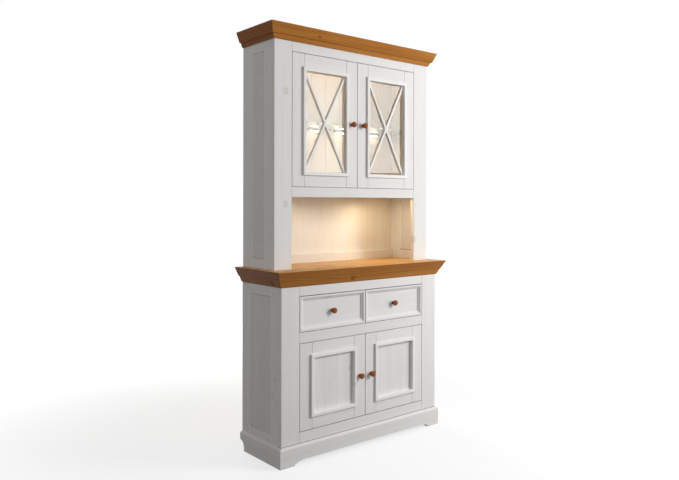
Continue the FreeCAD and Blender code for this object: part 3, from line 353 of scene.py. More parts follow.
def make_front_ledge():
    """Picks out the front strip of faces that look up, as far back as a limit, where the shade of the gap
    above them is painted.
    """
    tree, w, given, out = new_group("front_ledge", [POINT, NORMAL, ("Back", "Float", 0.0)], MASK)
    facing_up = w.math("GREATER_THAN", w.split(given["Normal"])[2], 0.9)
    w.plug(out["Mask"], w.scaled(facing_up, w.math("LESS_THAN", w.split(given["Vector"])[1], given["Back"])))
    return tree


def make_foot_line():
    """Picks out the foot of a board below a level: what the plinth covers, and the fine line over it, where a
    shadow is painted.
    """
    tree, w, given, out = new_group("foot_line", [POINT, ("Level", "Float", 0.0)], MASK)
    w.plug(out["Mask"], w.math("LESS_THAN", w.split(given["Vector"])[2], given["Level"]))
    return tree


def make_bare_side():
    """Tells a board's unfinished side from the finished one by how far a point lies along a direction."""
    tree, w, given, out = new_group(
        "bare_side", [POINT, ("Towards", "Vector", None), ("Level", "Float", 0.0)], MASK)
    reach = w.reach(given["Vector"], given["Towards"])
    w.plug(out["Mask"], w.math("GREATER_THAN", reach, given["Level"]))
    return tree


def make_facing():
    """Picks out the faces that look along a direction or against it."""
    tree, w, given, out = new_group(
        "facing", [NORMAL, ("Towards", "Vector", None), ("Start", "Float", 0.8), ("End", "Float", 0.9)], MASK)
    reach = w.math("ABSOLUTE", w.reach(given["Normal"], given["Towards"]))
    w.plug(out["Mask"], w.fade(reach, given["Start"], given["End"]))
    return tree


def make_glass_faces():
    """Picks out the narrow edges of a sheet of glass, and the faint smears on its faces."""
    tree, w, given, out = new_group("glass_faces", [POINT, NORMAL], [("Edge", "Float"), ("Smear", "Float")])
    sideways, forwards, upwards = w.unsigned(given["Normal"])
    narrow = w.math("MAXIMUM", sideways, w.math("MINIMUM", forwards, upwards))
    w.plug(out["Edge"], w.math("GREATER_THAN", narrow, 0.5))
    w.plug(out["Smear"], w.fade(w.noise(given["Vector"], 14.0, 3.0, 0.6), 0.5, 0.8))
    return tree


def make_lens_dots():
    """The small sources that just show through a frosted lens."""
    tree, w, given, out = new_group("lens_dots", [POINT], MASK)
    w.plug(out["Mask"], w.noise(given["Vector"], 260.0, 1.0))
    return tree


PINE_FIGURE = make_pine_figure()
WOOD_TONES = make_wood_tones()
BRUSHED_GLAZE = make_brushed_glaze()
FRAME_GRAIN = make_frame_grain()
SIDE_GRAIN = make_side_grain()
FRAMED_PANEL = make_framed_panel()
CROWN_GRAIN = make_crown_grain()
LIPPED_GRAIN = make_board_edge_grain()
EASED_EDGES = make_eased_edges()
BARE_SIDE = make_bare_side()
FRONT_GAP_SHADE = make_front_gap_shade()
FRONT_LEDGE = make_front_ledge()
FOOT_LINE = make_foot_line()
FACING = make_facing()
GLASS_FACES = make_glass_faces()
LENS_DOTS = make_lens_dots()


# Materials

def empty_wiring(owner):
    """Gives a material or the world an empty node tree."""
    owner.use_nodes = True
    owner.node_tree.nodes.clear()
    return Wiring(owner.node_tree)


def new_material(name):
    """A material with its wiring and its Principled shader."""
    material = bpy.data.materials.new(name)
    w = empty_wiring(material)
    shader = w.node("BsdfPrincipled")
    w.node("OutputMaterial", {"Surface": shader.outputs[0]})
    return material, w, shader


def level_x(w, where):
    """Grain of a standing board that runs from side to side."""
    x, y, z = w.split(where["Object"])
    return w.join(x, z, y)


def level_x_flat(w, where):
    """Grain of a lying board that runs from side to side."""
    return where["Object"]


def level_y(w, where):
    """Grain of a standing board that runs from front to back."""
    x, y, z = w.split(where["Object"])
    return w.join(y, z, x)


def upright(w, where):
    """Grain of an upright board that faces the front."""
    x, y, z = w.split(where["Object"])
    return w.join(z, x, y)


def mitred(box, member):
    """Grain round a mitred frame, from the frame's box and the width of its members."""
    low, high = box
    middle = (low + high) / 2
    half = (high - low) / 2

    def grain(w, where):
        return use(w, FRAME_GRAIN, Vector=where["Object"], Centre_X=middle.x, Centre_Z=middle.z,
                   Half_Width=half.x - member, Half_Height=half.z - member)[0]
    return grain


def framed_side(front, back, low, high):
    """Grain of a framed side, from the extent of its panel."""
    def grain(w, where):
        return use(w, SIDE_GRAIN, Vector=where["Object"], Front=front, Back=back, Low=low, High=high)[0]
    return grain


def crowned(half_width, front):
    """Grain of strips mitred round the front and sides, from a point on the mitre line."""
    def grain(w, where):
        return use(w, CROWN_GRAIN, Vector=where["Object"], Half_Width=half_width, Front=front)[0]
    return grain


def lipped(half_width, front):
    """Grain of a board lipped round the front and sides, from a point on the mitre line."""
    round_edges = crowned(half_width, front)

    def grain(w, where):
        edges = round_edges(w, where)
        return use(w, LIPPED_GRAIN, Vector=where["Object"], Edges=edges, Normal=where["Normal"])[0]
    return grain


def figured(w, grain, board_width, ring_width, knot_share):
    """The texture coordinates, and the pine figure laid along them."""
    where = w.node("TexCoord").outputs
    figure = use(w, PINE_FIGURE, Vector=grain(w, where), Board_Width=board_width,
                 Ring_Width=ring_width, Knot_Share=knot_share)
    return where, figure


def coloured(w, tree, figure, **tones):
    """The colour that a group gives a figure."""
    parts = {label: figure[label] for label, _ in FIGURE}
    return use(w, tree, **parts, **tones)["Colour"]


def wood_colour(w, figure, tones):
    light, dark, knot = tones
    return coloured(w, WOOD_TONES, figure, Light=light, Dark=dark, Knot_Tone=knot)


def grain_bump(w, shader, figure):
    """Raises late wood, fibre and knots a little."""
    w.plug(shader.inputs["Normal"], w.node(
        "Bump", {"Height": figure["Relief"], "Strength": 0.3, "Distance": 0.0004}).outputs[0])


def washed_pine(name, grain, board_width=2.0, eased=0.0, bare=None, edged=None, ledge=None, foot=None,
                panel=None, glaze=WASH, worn_or_lit_edge_tone=WASH_WORN_AND_SEAM_SHADE):
    """White glaze over brushed pine, worn on eased edges as much as is given; with a bright edge tone that is
    a painted highlight instead. bare gives the direction and the level past which the board was left
    unfinished, edged the box of a front whose outer arris is painted dark with the shade of the gap, ledge
    how far back the faces that look up carry painted shade of the gap above them, foot the level under which
    the board is painted dark, as the shadow line at the plinth, and panel the front, back, foot and head of a
    framed side's panel, whose upright seams get a painted highlight and whose level seams get painted shade."""
    material, w, shader = new_material(name)
    where, figure = figured(w, grain, board_width, WASHED_RINGS, WASHED_KNOTS)
    colour = coloured(w, BRUSHED_GLAZE, figure, Glaze=glaze)
    if panel:
        front, back, low, high = panel
        framed = use(w, FRAMED_PANEL, Vector=where["Object"], Front=front, Back=back, Low=low, High=high)
        colour = w.mix(w.scaled(framed["Field"], PANEL_SHADE), colour, BLACK)
        # Painted highlight on the upright seams, painted shade in the level seams
        colour = w.mix(framed["Upright Seam Highlight"], colour, WASH_HIGHLIGHT)
        colour = w.mix(framed["Level Seam Shade"], colour, WASH_WORN_AND_SEAM_SHADE)
    # Wear on eased edges; with the bright edge tone, a painted highlight instead
    if eased:
        edge = use(w, EASED_EDGES, Vector=where["Object"], Normal=where["Normal"])["Mask"]
        colour = w.mix(w.scaled(edge, eased), colour, worn_or_lit_edge_tone)
    if bare:
        towards, level = bare
        unfinished = use(w, BARE_SIDE, Vector=where["Object"], Towards=towards, Level=level)["Mask"]
        colour = w.mix(unfinished, colour, wood_colour(w, figure, NATURAL))
    # Painted shade of the gap on a drawer front's outer arris
    if edged:
        middle = (edged[0] + edged[1]) / 2
        half = (edged[1] - edged[0]) / 2
        shaded_rim = use(w, FRONT_GAP_SHADE, Vector=where["Object"], Centre_X=middle.x, Centre_Z=middle.z,
                    Half_Width=half.x, Half_Height=half.z, Back=edged[0].y + ARRIS_SHADE_DEPTH)["Mask"]
        colour = w.mix(shaded_rim, colour, GAP_SHADE)
    # Painted shade of the gap on the front of the faces that look up
    if ledge is not None:
        shaded_ledge = use(w, FRONT_LEDGE, Vector=where["Object"], Normal=where["Normal"], Back=ledge)["Mask"]
        colour = w.mix(shaded_ledge, colour, GAP_SHADE)
    # Painted shadow line over the plinth
    if foot is not None:
        shaded_foot = use(w, FOOT_LINE, Vector=where["Object"], Level=foot)["Mask"]
        colour = w.mix(w.scaled(shaded_foot, FOOT_SHADE), colour, GAP_SHADE)
    w.plug(shader.inputs["Base Color"], colour)
    w.plug(shader.inputs["Roughness"], w.fade(figure["Fibre"], 0.2, 0.9, 0.45, 0.65))
    grain_bump(w, shader, figure)
    return material


def plain_pine(name, grain, tones, board_width=LAMELLA, knot_share=0.25, roughness=0.4, wax=0.0,
               top_tones=None, side_tones=None):
    """Pine left its own colour, under as much clear wax as is given. top_tones are those of its level faces,
    lighter partly from the boards' own tone and partly from painted light, and side_tones those of the faces
    that look sideways, darker with painted shade."""
    material, w, shader = new_material(name)
    where, figure = figured(w, grain, board_width, PLAIN_RINGS, knot_share)
    colour = wood_colour(w, figure, tones)
    # The level faces are painted lighter, partly for the light that falls on them
    if top_tones:
        level = use(w, FACING, Normal=where["Normal"], Towards=UPWARDS, Start=0.8, End=0.9)["Mask"]
        colour = w.mix(level, colour, wood_colour(w, figure, top_tones))
    # The faces that look sideways are painted darker with shade
    if side_tones:
        sideways = use(w, FACING, Normal=where["Normal"], Towards=SIDEWAYS, Start=0.4, End=0.5)["Mask"]
        colour = w.mix(sideways, colour, wood_colour(w, figure, side_tones))
    w.plug(shader.inputs["Base Color"], colour)
    w.plug(shader.inputs["Roughness"], w.fade(figure["Fibre"], 0.2, 0.9, roughness - 0.06, roughness + 0.12))
    grain_bump(w, shader, figure)
    shader.inputs["Specular IOR Level"].default_value = 0.1
    shader.inputs["Coat Weight"].default_value = wax
    shader.inputs["Coat Roughness"].default_value = 0.25
    return material


def glass(name, tint, edge_tint):
    """Clear glass with faint smears on its faces and a deeper tint at its narrow edges."""
    material, w, shader = new_material(name)
    where = w.node("TexCoord").outputs
    faces = use(w, GLASS_FACES, Vector=where["Object"], Normal=where["Normal"])
    w.plug(shader.inputs["Base Color"], w.mix(faces["Edge"], tint, edge_tint))
    w.plug(shader.inputs["Roughness"], w.scaled(faces["Smear"], 0.03))
    w.plug(shader.inputs["Alpha"], w.math(
        "SUBTRACT", 1.0, w.scaled(w.node("LightPath").outputs["Is Shadow Ray"], 0.12)))
    shader.inputs["Transmission Weight"].default_value = 1.0
    shader.inputs["IOR"].default_value = 1.45
    shader.inputs["Specular IOR Level"].default_value = 0.3
    return material


def plated_steel(name):
    """Nickel plate with fine brushing and a little spotting."""
    material, w, shader = new_material(name)
    where = w.node("TexCoord").outputs["Object"]
    x, y, z = w.split(where)
    brushed = w.noise(w.join(w.scaled(x, 60.0), w.scaled(y, 60.0), w.scaled(z, 1800.0)), 1.0, 2.0)
    spots = w.fade(w.noise(where, 220.0, 2.0), 0.62, 0.75)
    colour = w.mix(brushed, linear(200, 198, 194), linear(166, 164, 162))
    w.plug(shader.inputs["Base Color"], w.mix(w.scaled(spots, 0.3), colour, linear(120, 112, 104)))
    w.plug(shader.inputs["Roughness"], w.fade(brushed, 0.2, 0.8, 0.25, 0.4))
    shader.inputs["Metallic"].default_value = 1.0
    return material


def moulded_plastic(name, tint):
    """Pale plastic with a fine spark-eroded skin."""
    material, w, shader = new_material(name)
    skin = w.noise(w.node("TexCoord").outputs["Object"], 900.0, 2.0)
    w.plug(shader.inputs["Base Color"], w.mix(w.scaled(skin, 0.2), tint, linear(180, 176, 168)))
    w.plug(shader.inputs["Roughness"], w.fade(skin, 0.2, 0.8, 0.28, 0.4))
    w.plug(shader.inputs["Normal"], w.node(
        "Bump", {"Height": skin, "Strength": 0.2, "Distance": 0.0001}).outputs[0])
    return material


def lit_lens(name, strength):
    """A frosted lens lit from behind, with the small sources just showing."""
    material, w, shader = new_material(name)
    dots = use(w, LENS_DOTS, Vector=w.node("TexCoord").outputs["Object"])["Mask"]
    w.plug(shader.inputs["Base Color"], w.mix(
        w.scaled(dots, 0.3), linear(255, 246, 226), linear(240, 216, 178)))
    w.plug(shader.inputs["Emission Color"], w.mix(
        w.scaled(dots, 0.4), linear(255, 236, 204), linear(255, 214, 160)))
    shader.inputs["Emission Strength"].default_value = strength
    shader.inputs["Roughness"].default_value = 0.4
    return material


def coat(node, material):
    """Gives a CAD node its finish."""
    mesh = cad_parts[node].data
    mesh.materials.clear()
    mesh.materials.append(material)


# Front, back, foot and head of the panel in each framed side, and the width of the boards it is glued from
SIDE_PANELS = {
    "base": ((-0.066, 0.117, 0.135, 0.778), 0.0915),
    "hutch": ((-0.004, 0.101, 0.952, 1.934), 0.105),
}
FOOT_LINE_HEIGHT = 0.003  # how far the painted shadow line shows over the plinth
LEDGE_DEPTH = 0.012       # how far back the painted shade on the ledges of the base rails reaches
BOARDING_WIDTH = 0.1004   # width of a tongued board
DOOR_MOULDING = 0.018     # widths of mitred members
DRAWER_RIM = 0.022
BEAD_WIDTH = 0.01


def finish_cabinet():
    """The pieces that don't move."""
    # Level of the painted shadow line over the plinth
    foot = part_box("plinth_front")[1].z + FOOT_LINE_HEIGHT
    upright_pine = washed_pine("washed_pine_upright", upright, eased=0.3, foot=foot)
    for node in ("base_front_stiles", "hutch_front_stiles"):
        coat(node, upright_pine)
    coat("hutch_front_rails", washed_pine("washed_pine_hutch_rails", level_x, eased=0.3))
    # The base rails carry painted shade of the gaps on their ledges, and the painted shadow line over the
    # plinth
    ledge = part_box("base_front_rails")[0].y + LEDGE_DEPTH
    coat("base_front_rails", washed_pine(
        "washed_pine_base_rails", level_x, eased=0.3, ledge=ledge, foot=foot))
    for node in ("base_floor", "drawer_deck", "base_shelf", "hutch_floor"):
        coat(node, washed_pine("washed_pine_" + node, level_x_flat, LAMELLA))
    coat("hutch_top", washed_pine("washed_pine_hutch_top", level_x_flat, LAMELLA, bare=(UPWARDS, 1.992)))
    coat("base_back", washed_pine("washed_pine_base_back", upright, 0.2, bare=(BACKWARDS, 0.182)))
    # Warmer glaze on the boarding: partly its own tone, partly painted warm lamp light
    coat("hutch_back", washed_pine(
        "washed_pine_boarding", upright, BOARDING_WIDTH, eased=0.2, bare=(BACKWARDS, 0.1835),
        glaze=WASH_WARM_AND_LAMPLIT))
    coat("plinth_front", washed_pine("washed_pine_plinth_front", level_x))
    coat("plinth_sides", washed_pine("washed_pine_plinth_sides", level_y))
    for hand in ("left", "right"):
        for cupboard, (panel, board_width) in SIDE_PANELS.items():
            side = f"{cupboard}_side_{hand}"
            # Painted highlights on the chamfers and upright seams of the sides, painted shade in their level
            # seams
            coat(side, washed_pine(
                "washed_pine_" + side, framed_side(*panel), board_width, eased=0.9, panel=panel,
                worn_or_lit_edge_tone=WASH_HIGHLIGHT))
    # The honey pine is lighter on its level faces, partly painted light, and darker on its sides with painted
    # shade
    coat("worktop", plain_pine(
        "honey_pine_worktop", lipped(0.557, -0.191), HONEY, top_tones=HONEY_TOP_PARTLY_LIT, side_tones=HONEY_SIDE_SHADED))
    coat("worktop_moulding", plain_pine(
        "honey_pine_strip", crowned(0.533, -0.167), HONEY, 0.3, side_tones=HONEY_SIDE_SHADED))
    coat("cornice", plain_pine(
        "honey_pine_cornice", crowned(0.552, -0.125), HONEY, 0.3, side_tones=HONEY_SIDE_SHADED))
    coat("drawer_guides", plain_pine(
        "natural_pine_guides", level_y, NATURAL, 0.4, knot_share=0.2, roughness=0.5))
    coat("hutch_shelf", glass("shelf_glass", linear(240, 250, 246), linear(150, 205, 182)))
    housing = moulded_plastic("light_housing", linear(236, 232, 222))
    coat("shelf_lights", housing)
    coat("niche_lights", housing)
    for node in ("shelf_pins", "hinge_arms"):
        coat(node, STEEL)


def finish_doors():
    """The doors and drawers."""
    knob = plain_pine("knob_pine", level_y, TURNED, 3.0, knot_share=0.0, roughness=0.3, wax=0.2)
    pane = glass("door_glass", linear(250, 252, 251), linear(190, 222, 208))
    upright_pine = washed_pine("washed_pine_door_stiles", upright, eased=0.6)
    level_pine = washed_pine("washed_pine_door_rails", level_x, eased=0.6)
    for cupboard in ("base", "hutch"):
        for hand in ("left", "right"):
            door = f"{cupboard}_door_{hand}"
            coat(door + "_stiles", upright_pine)
            coat(door + "_rails", level_pine)
            # Brighter glaze on the mouldings: painted light, lifting their shaded flanks
            coat(door + "_moulding", washed_pine(
                "washed_pine_" + door + "_moulding", mitred(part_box(door + "_moulding"), DOOR_MOULDING),
                glaze=WASH_HIGHLIGHT))
            coat(door + "_knob", knob)
            coat(door + "_hinge_cups", STEEL)
    box_pine = plain_pine("natural_pine_box", level_y, NATURAL, 0.14, knot_share=0.3, roughness=0.5)
    bottom_pine = plain_pine("natural_pine_bottom", level_x_flat, NATURAL, 0.5, knot_share=0.2, roughness=0.5)
    for hand in ("left", "right"):
        coat(f"base_door_{hand}_panel", washed_pine("washed_pine_panel_" + hand, upright, 0.093))
        coat(f"hutch_door_{hand}_glass", pane)
        # Brighter glaze on the bars: painted light from the lamps inside
        coat(f"hutch_door_{hand}_bars", washed_pine("washed_pine_bars_" + hand, upright, glaze=WASH_HIGHLIGHT))
        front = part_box(f"drawer_{hand}_front")
        # Painted shade of the gap round the drawer front
        coat(f"drawer_{hand}_front", washed_pine(
            "washed_pine_drawer_" + hand, mitred(front, DRAWER_RIM), edged=front))
        coat(f"drawer_{hand}_knob", knob)
        coat(f"drawer_{hand}_box", box_pine)
        coat(f"drawer_{hand}_bottom", bottom_pine)


STEEL = plated_steel("hinge_steel")


# Pieces

# Y of the backs of doors, drawer fronts and face frames, where their screws sit
DOOR_BACKS = {"base_door": -0.127, "hutch_door": -0.063}
DRAWER_FRONT_BACK = -0.123
FRAME_BACKS = {"base": -0.118, "hutch": -0.054}
HINGE_LEVELS = {"base": (0.217, 0.487), "hutch": (1.364, 1.862)}
ARM_SCREW_X = 0.426       # from the middle of the cabinet
CUP_SCREW_STEP = 0.025    # from the middle of a hinge cup
SCREW_REACH = 0.62        # how far out from its middle a screw head is cut, as a share of its radius
NAIL_PITCH = 0.11
CLIP_X = (-0.34, -0.088, 0.088, 0.34)


def mesh_of(name, shape):
    """A mesh from a bmesh that has done its work."""
    mesh = bpy.data.meshes.new(name)
    shape.to_mesh(mesh)
    shape.free()
    return mesh


def add_object(name, data):
    item = bpy.data.objects.new(name, data)
    bpy.context.scene.collection.objects.link(item)
    return item


def new_piece(name, mesh_maker, material, body):
    """Makes a piece from a bmesh and lets it ride on a body of the frame."""
    shape = bmesh.new()
    mesh_maker(shape)
    piece = add_object(name, mesh_of(name, shape))
    piece.data.materials.append(material)
    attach(piece, body)


def each_once(items):
    """Corners, edges or faces without repeats, always in the same order."""
    return list(dict.fromkeys(items))


def add_disc(shape, centre, radius, thickness, rim):
    """A thin round lens with an eased lower rim."""
    made = bmesh.ops.create_cone(
        shape, cap_ends=True, segments=48, radius1=radius, radius2=radius, depth=thickness,
        matrix=Matrix.Translation(centre))
    low = [vert for vert in made["verts"] if vert.co.z < centre.z]
    edges = [edge for edge in shape.edges if all(vert in low for vert in edge.verts)]
    bmesh.ops.bevel(shape, geom=edges, offset=rim, affect="EDGES", segments=3, profile=0.5, material=-1)


def add_bar(shape, centre, size, rim):
    """A bar with eased edges."""
    made = bmesh.ops.create_cube(
        shape, size=1.0, matrix=Matrix.Translation(centre) @ Matrix.Diagonal((*size, 1.0)))
    edges = each_once(edge for vert in made["verts"] for edge in vert.link_edges)
    bmesh.ops.bevel(shape, geom=edges, offset=rim, affect="EDGES", segments=2, profile=0.5, material=-1)


def light_lenses():
    """The lenses of the lights, with the places where they stand."""
    low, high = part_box("niche_lights")
    spots = [Vector((x, (low.y + high.y) / 2, low.z + 0.0012)) for x in (low.x + 0.03, high.x - 0.03)]
    bright_lens = lit_lens("spot_lens", 4.0)
    dim_lens = lit_lens("clip_lens", 2.0)

    def spot_lenses(shape):
        for spot in spots:
            add_disc(shape, spot, radius=0.0228, thickness=0.0016, rim=0.0006)
    new_piece("niche_lenses", spot_lenses, bright_lens, "cabinet")
    low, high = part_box("shelf_lights")
    clips = [Vector((x, (low.y + high.y) / 2, low.z - 0.0002)) for x in CLIP_X]

    def clip_lenses(shape):
        for clip in clips:
            add_bar(shape, clip, size=(0.056, 0.009, 0.0012), rim=0.0004)
    new_piece("shelf_lenses", clip_lenses, dim_lens, "cabinet")
    return spots, clips


def turned_back(place):
    """Stands a head that was made facing up on a face that looks to the back."""
    return Matrix.Translation(place) @ Matrix.Rotation(math.radians(-90), 4, "X")


def screw_head(radius, height, recess):
    """A pan head with a cross recess, facing up, to be copied."""
    shape = bmesh.new()
    bmesh.ops.create_cone(
        shape, cap_ends=True, segments=24, radius1=radius, radius2=radius, depth=height,
        matrix=Matrix.Translation((0.0, 0.0, height / 2)))
    top = [face for face in shape.faces if face.normal.z > 0.9]
    rim = [edge for face in top for edge in face.edges]
    bmesh.ops.bevel(shape, geom=rim, offset=height / 2, affect="EDGES", segments=3, profile=0.5, material=-1)
    top = [face for face in shape.faces if face.normal.z > 0.99]
    bmesh.ops.inset_region(shape, faces=top, thickness=radius * 0.2)
    reach = radius * SCREW_REACH
    for direction in ((1.0, 0.0, 0.0), (0.0, 1.0, 0.0)):
        for side in (-1.0, 1.0):
            inner = [face for face in shape.faces if is_inner(face, reach)]
            edges = each_once(edge for face in inner for edge in face.edges)
            verts = each_once(vert for face in inner for vert in face.verts)
            bmesh.ops.bisect_plane(
                shape, geom=[*inner, *edges, *verts], plane_co=Vector(direction) * side * recess / 2,
                plane_no=direction)
    cross = [face for face in shape.faces if is_inner(face, reach) and is_in_cross(face, recess / 2)]
    sunk = bmesh.ops.extrude_face_region(shape, geom=cross)["geom"]
    floor = [item for item in sunk if isinstance(item, bmesh.types.BMVert)]
    bmesh.ops.translate(shape, vec=(0.0, 0.0, -height * 0.7), verts=floor)
    bmesh.ops.scale(shape, vec=(0.8, 0.8, 1.0), verts=floor)
    bmesh.ops.delete(shape, geom=cross, context="FACES")
    return mesh_of("screw_head", shape)


def is_inner(face, reach):
    """Whether a face lies on the flat top, no further out than its reach."""
    centre = face.calc_center_median()
    return face.normal.z > 0.99 and max(abs(centre.x), abs(centre.y)) < reach


def is_in_cross(face, half):
    """Whether a face lies within half a slot's width of either axis."""
    centre = face.calc_center_median()
    return min(abs(centre.x), abs(centre.y)) < half


def nail_head(radius, height):
    """A small nail head with sloping sides, facing up, to be copied."""
    shape = bmesh.new()
    made = bmesh.ops.create_cone(
        shape, cap_ends=True, segments=10, radius1=radius, radius2=radius * 0.6, depth=height,
        matrix=Matrix.Translation((0.0, 0.0, height / 2)))
    bmesh.ops.recalc_face_normals(
        shape, faces=each_once(face for vert in made["verts"] for face in vert.link_faces))
    return mesh_of("nail_head", shape)


def heads(pattern, places):
    """Copies of one head, set on faces that look to the back."""
    def make(shape):
        for place in places:
            before = len(shape.verts)
            shape.from_mesh(pattern)
            bmesh.ops.transform(shape, matrix=turned_back(place), verts=shape.verts[before:])
    return make


def fix_hinges():
    """Screws through the flanges of the hinge cups and through the arms."""
    screw = screw_head(radius=0.0042, height=0.0012, recess=0.0014)
    arm_places = []
    for cupboard, levels in HINGE_LEVELS.items():
        for hand, side in (("left", -1.0), ("right", 1.0)):
            door = f"{cupboard}_door_{hand}"
            low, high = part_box(door + "_hinge_cups")
            places = [Vector(((low.x + high.x) / 2, high.y, level + step))
                      for level in levels for step in (-CUP_SCREW_STEP, CUP_SCREW_STEP)]
            new_piece(door + "_cup_screws", heads(screw, places), STEEL, door)
            arm_places += [Vector((side * ARM_SCREW_X, FRAME_BACKS[cupboard], level)) for level in levels]
    new_piece("hinge_arm_screws", heads(screw, arm_places), STEEL, "cabinet")


def fix_knobs():
    """The screw that holds each knob, seen on the back of the door or drawer front."""
    screw = screw_head(radius=0.0045, height=0.0016, recess=0.0015)
    for kind, back in (*DOOR_BACKS.items(), ("drawer", DRAWER_FRONT_BACK)):
        for hand in ("left", "right"):
            body = f"{kind}_{hand}"
            low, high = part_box(body + "_knob")
            place = Vector(((low.x + high.x) / 2, back, (low.z + high.z) / 2))
            new_piece(body + "_knob_screw", heads(screw, [place]), STEEL, body)


def evenly(start, end, inset):
    """Nail places along an edge, as near to the pitch as it divides, with the first and last inset."""
    steps = round((end - start) / NAIL_PITCH)
    return [start + inset + (end - start - 2 * inset) * step / steps for step in range(steps + 1)]


def nail_backs():
    """Nails round the edges of the two backs."""
    nail = nail_head(radius=0.0026, height=0.0009)
    for node in ("base_back", "hutch_back"):
        low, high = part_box(node)
        levels = evenly(low.z, high.z, 0.02)
        across = evenly(low.x, high.x, 0.011)
        places = [Vector((x, high.y, z)) for x in (across[0], across[-1]) for z in levels]
        places += [Vector((x, high.y, z)) for x in across[1:-1] for z in (levels[0], levels[-1])]
        new_piece(node + "_nails", heads(nail, places), STEEL, "cabinet")


def bead_frame(low, high, width, rim):
    """Four beads mitred round the inside of a rebate, with their inner edge rounded."""
    size = high - low
    middle = (low + high) / 2

    def inside(vert):
        return (abs(vert.co.x - middle.x) < size.x / 2 - width / 2
                and abs(vert.co.z - middle.z) < size.z / 2 - width / 2)

    def make(shape):
        place = Matrix.Translation((middle.x, low.y, middle.z))
        stand = Matrix.Rotation(math.radians(90), 4, "X")
        stretch = Matrix.Diagonal((size.x, size.z, 1.0, 1.0))
        bmesh.ops.create_grid(
            shape, x_segments=1, y_segments=1, size=0.5, matrix=place @ stand @ stretch)
        whole = shape.faces[:]
        bmesh.ops.inset_region(shape, faces=whole, thickness=width, use_even_offset=True, use_boundary=True)
        bmesh.ops.delete(shape, geom=whole, context="FACES")
        grown = bmesh.ops.extrude_face_region(shape, geom=shape.faces[:])["geom"]
        back = [item for item in grown if isinstance(item, bmesh.types.BMVert)]
        bmesh.ops.translate(shape, vec=(0.0, size.y, 0.0), verts=back)
        edges = [edge for edge in shape.edges if all(
            vert.co.y > middle.y and inside(vert) for vert in edge.verts)]
        bmesh.ops.bevel(shape, geom=edges, offset=rim, affect="EDGES", segments=4, profile=0.5, material=-1)
        bmesh.ops.recalc_face_normals(shape, faces=shape.faces[:])
    return make


def bead_doors():
    """The beads that hold the panes and the panels from behind."""
    for kind, filling, rim in (("base_door", "_panel", 0.003), ("hutch_door", "_glass", 0.004)):
        for hand in ("left", "right"):
            door = f"{kind}_{hand}"
            low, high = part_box(door + filling)
            low, high = Vector((low.x, high.y, low.z)), Vector((high.x, DOOR_BACKS[kind], high.z))
            pine = washed_pine("washed_pine_" + door + "_beads", mitred((low, high), BEAD_WIDTH))
            new_piece(door + "_beads", bead_frame(low, high, BEAD_WIDTH, rim), pine, door)


# Light, camera and floor

def add_area(name, place, aim, size, energy, tint=(1.0, 1.0, 1.0)):
    """A rectangular lamp, turned towards its aim."""
    lamp = bpy.data.lights.new(name, "AREA")
    lamp.shape = "RECTANGLE"
    lamp.size, lamp.size_y = size
    lamp.energy = energy
    lamp.color = tint
    item = add_object(name, lamp)
    item.location = place
    item.rotation_euler = (Vector(aim) - Vector(place)).to_track_quat("-Z", "Y").to_euler()
    return item


def white_to_camera(w):
    """1 for rays that show the background: straight from the camera, mirrored or through glass."""
    path = w.node("LightPath").outputs
    seen = w.math("MAXIMUM", path["Is Camera Ray"], path["Is Glossy Ray"])
    direct = w.math("LESS_THAN", path["Diffuse Depth"], 0.5)
    return w.scaled(direct, w.math("MAXIMUM", seen, path["Is Transmission Ray"]))


def make_world():
    """Even light that is weaker from above, behind a background that shows as white."""
    world = bpy.data.worlds.new("studio")
    bpy.context.scene.world = world
    w = empty_wiring(world)
    up = w.split(w.node("TexCoord").outputs["Generated"])[2]
    around = w.node("Background", {0: (1.0, 0.995, 0.99, 1.0), 1: w.fade(up, 0.0, 0.9, 0.54, 0.23)})
    white = w.node("Background", {0: WHITE, 1: 1.0})
    both = w.node("MixShader", {0: white_to_camera(w), 1: around.outputs[0], 2: white.outputs[0]})
    w.node("OutputWorld", {0: both.outputs[0]})


def make_floor():
    """A floor that keeps the shadow and fades to white away from the cabinet."""
    shape = bmesh.new()
    bmesh.ops.create_grid(shape, x_segments=1, y_segments=1, size=9.0)
    floor = add_object("floor", mesh_of("floor", shape))
    material = bpy.data.materials.new("pale_floor")
    w = empty_wiring(material)
    seen = white_to_camera(w)
    where = w.node("TexCoord").outputs["Object"]
    away = w.node("VectorMath", {0: where}, operation="LENGTH").outputs["Value"]
    plain = w.node("BsdfDiffuse", {0: w.mix(seen, (0.1, 0.1, 0.1, 1.0), (0.34, 0.34, 0.34, 1.0))})
    glow = w.node("Emission", {0: WHITE, 1: w.scaled(seen, w.fade(away, 1.0, 3.2, 0.7, 1.0))})
    both = w.node("AddShader", {0: plain.outputs[0], 1: glow.outputs[0]})
    w.node("OutputMaterial", {0: both.outputs[0]})
    floor.data.materials.append(material)


def make_camera():
    """The photograph's own view: lens, shift, place and turn found from the cabinet's edges."""
    data = bpy.data.cameras.new("camera")
    data.sensor_width = 36.0
    data.lens = 35.94
    data.shift_x = 0.0058
    data.shift_y = -0.0472
    camera = add_object("camera", data)
    heading = Matrix.Rotation(math.radians(-39.34), 4, "Z")
    pitch = Matrix.Rotation(math.radians(89.7), 4, "X")
    roll = Matrix.Rotation(math.radians(0.1), 4, "Z")
    camera.matrix_world = Matrix.Translation((-2.28315, -2.69539, 1.20933)) @ heading @ pitch @ roll
    bpy.context.scene.camera = camera


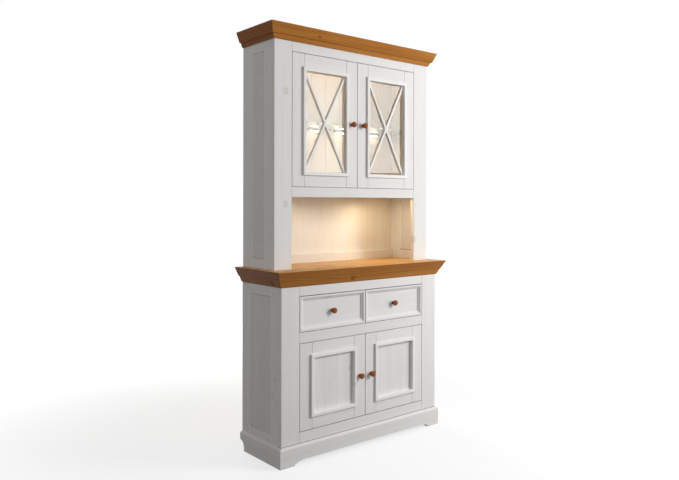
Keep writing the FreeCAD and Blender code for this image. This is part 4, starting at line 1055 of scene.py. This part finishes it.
def add_hidden_glow(name, place, aim, size, energy, tint):
    """A lamp that stands for light thrown about inside the cabinet, and isn't seen itself."""
    glow = add_area(name, place, aim, size, energy, tint)
    glow.visible_camera = False
    glow.visible_glossy = False
    glow.visible_transmission = False


def light_cabinet(spots, clips):
    """Daylight from the front right and the back, and warm light where the cabinet's own lights stand."""
    for name, place, aim, size, energy in (
            ("daylight", (2.1, -2.45, 2.1), (0.0, -0.1, 1.1), (1.2, 1.2), 75.0),
            ("low_light", (2.6, -1.8, 0.5), (0.2, -0.1, 0.4), (1.4, 0.9), 16.0),
            ("back_light", (0.7, 3.2, 1.9), (0.0, 0.2, 1.1), (1.8, 1.8), 42.0)):
        add_area(name, place, aim, size, energy).visible_glossy = False
    warm = (1.0, 0.81, 0.51)
    below = Vector((0.0, 0.0, -1.0))
    for index, (spot, energy) in enumerate(zip(spots, (0.07, 0.15))):
        glow = add_area(f"spot_glow_{index}", spot + below * 0.004, spot + below, (0.04, 0.04), energy, warm)
        glow.data.spread = math.radians(150)
    add_hidden_glow("niche_glow", (0.27, -0.01, 1.243), (0.27, -0.01, 0.9), (0.26, 0.1), 0.5, warm)
    for index, clip in enumerate(clips):
        under = clip + Vector((0.0, -0.004, -0.006))
        add_area(f"shelf_glow_{index}", under, under + Vector((0.0, -0.5, -1.0)), (0.05, 0.01), 0.03, warm)
    amber = (1.0, 0.67, 0.36)
    for name, middle, top, energy in (("lower", 1.45, 1.59, 0.26), ("upper", 1.8, 1.97, 0.4)):
        add_hidden_glow(name + "_bay_glow", (0.0, 0.05, top), (0.0, 0.05, 1.0), (0.8, 0.14), energy, amber)
        add_hidden_glow(
            name + "_front_glow", (0.0, 0.15, middle), (0.0, -1.0, middle), (0.8, 0.24), 0.3, amber)


finish_cabinet()
finish_doors()
bead_doors()
fix_hinges()
fix_knobs()
nail_backs()
spot_places, clip_places = light_lenses()
make_world()
make_floor()
make_camera()
light_cabinet(spot_places, clip_places)
bpy.context.scene.view_settings.view_transform = "Standard"
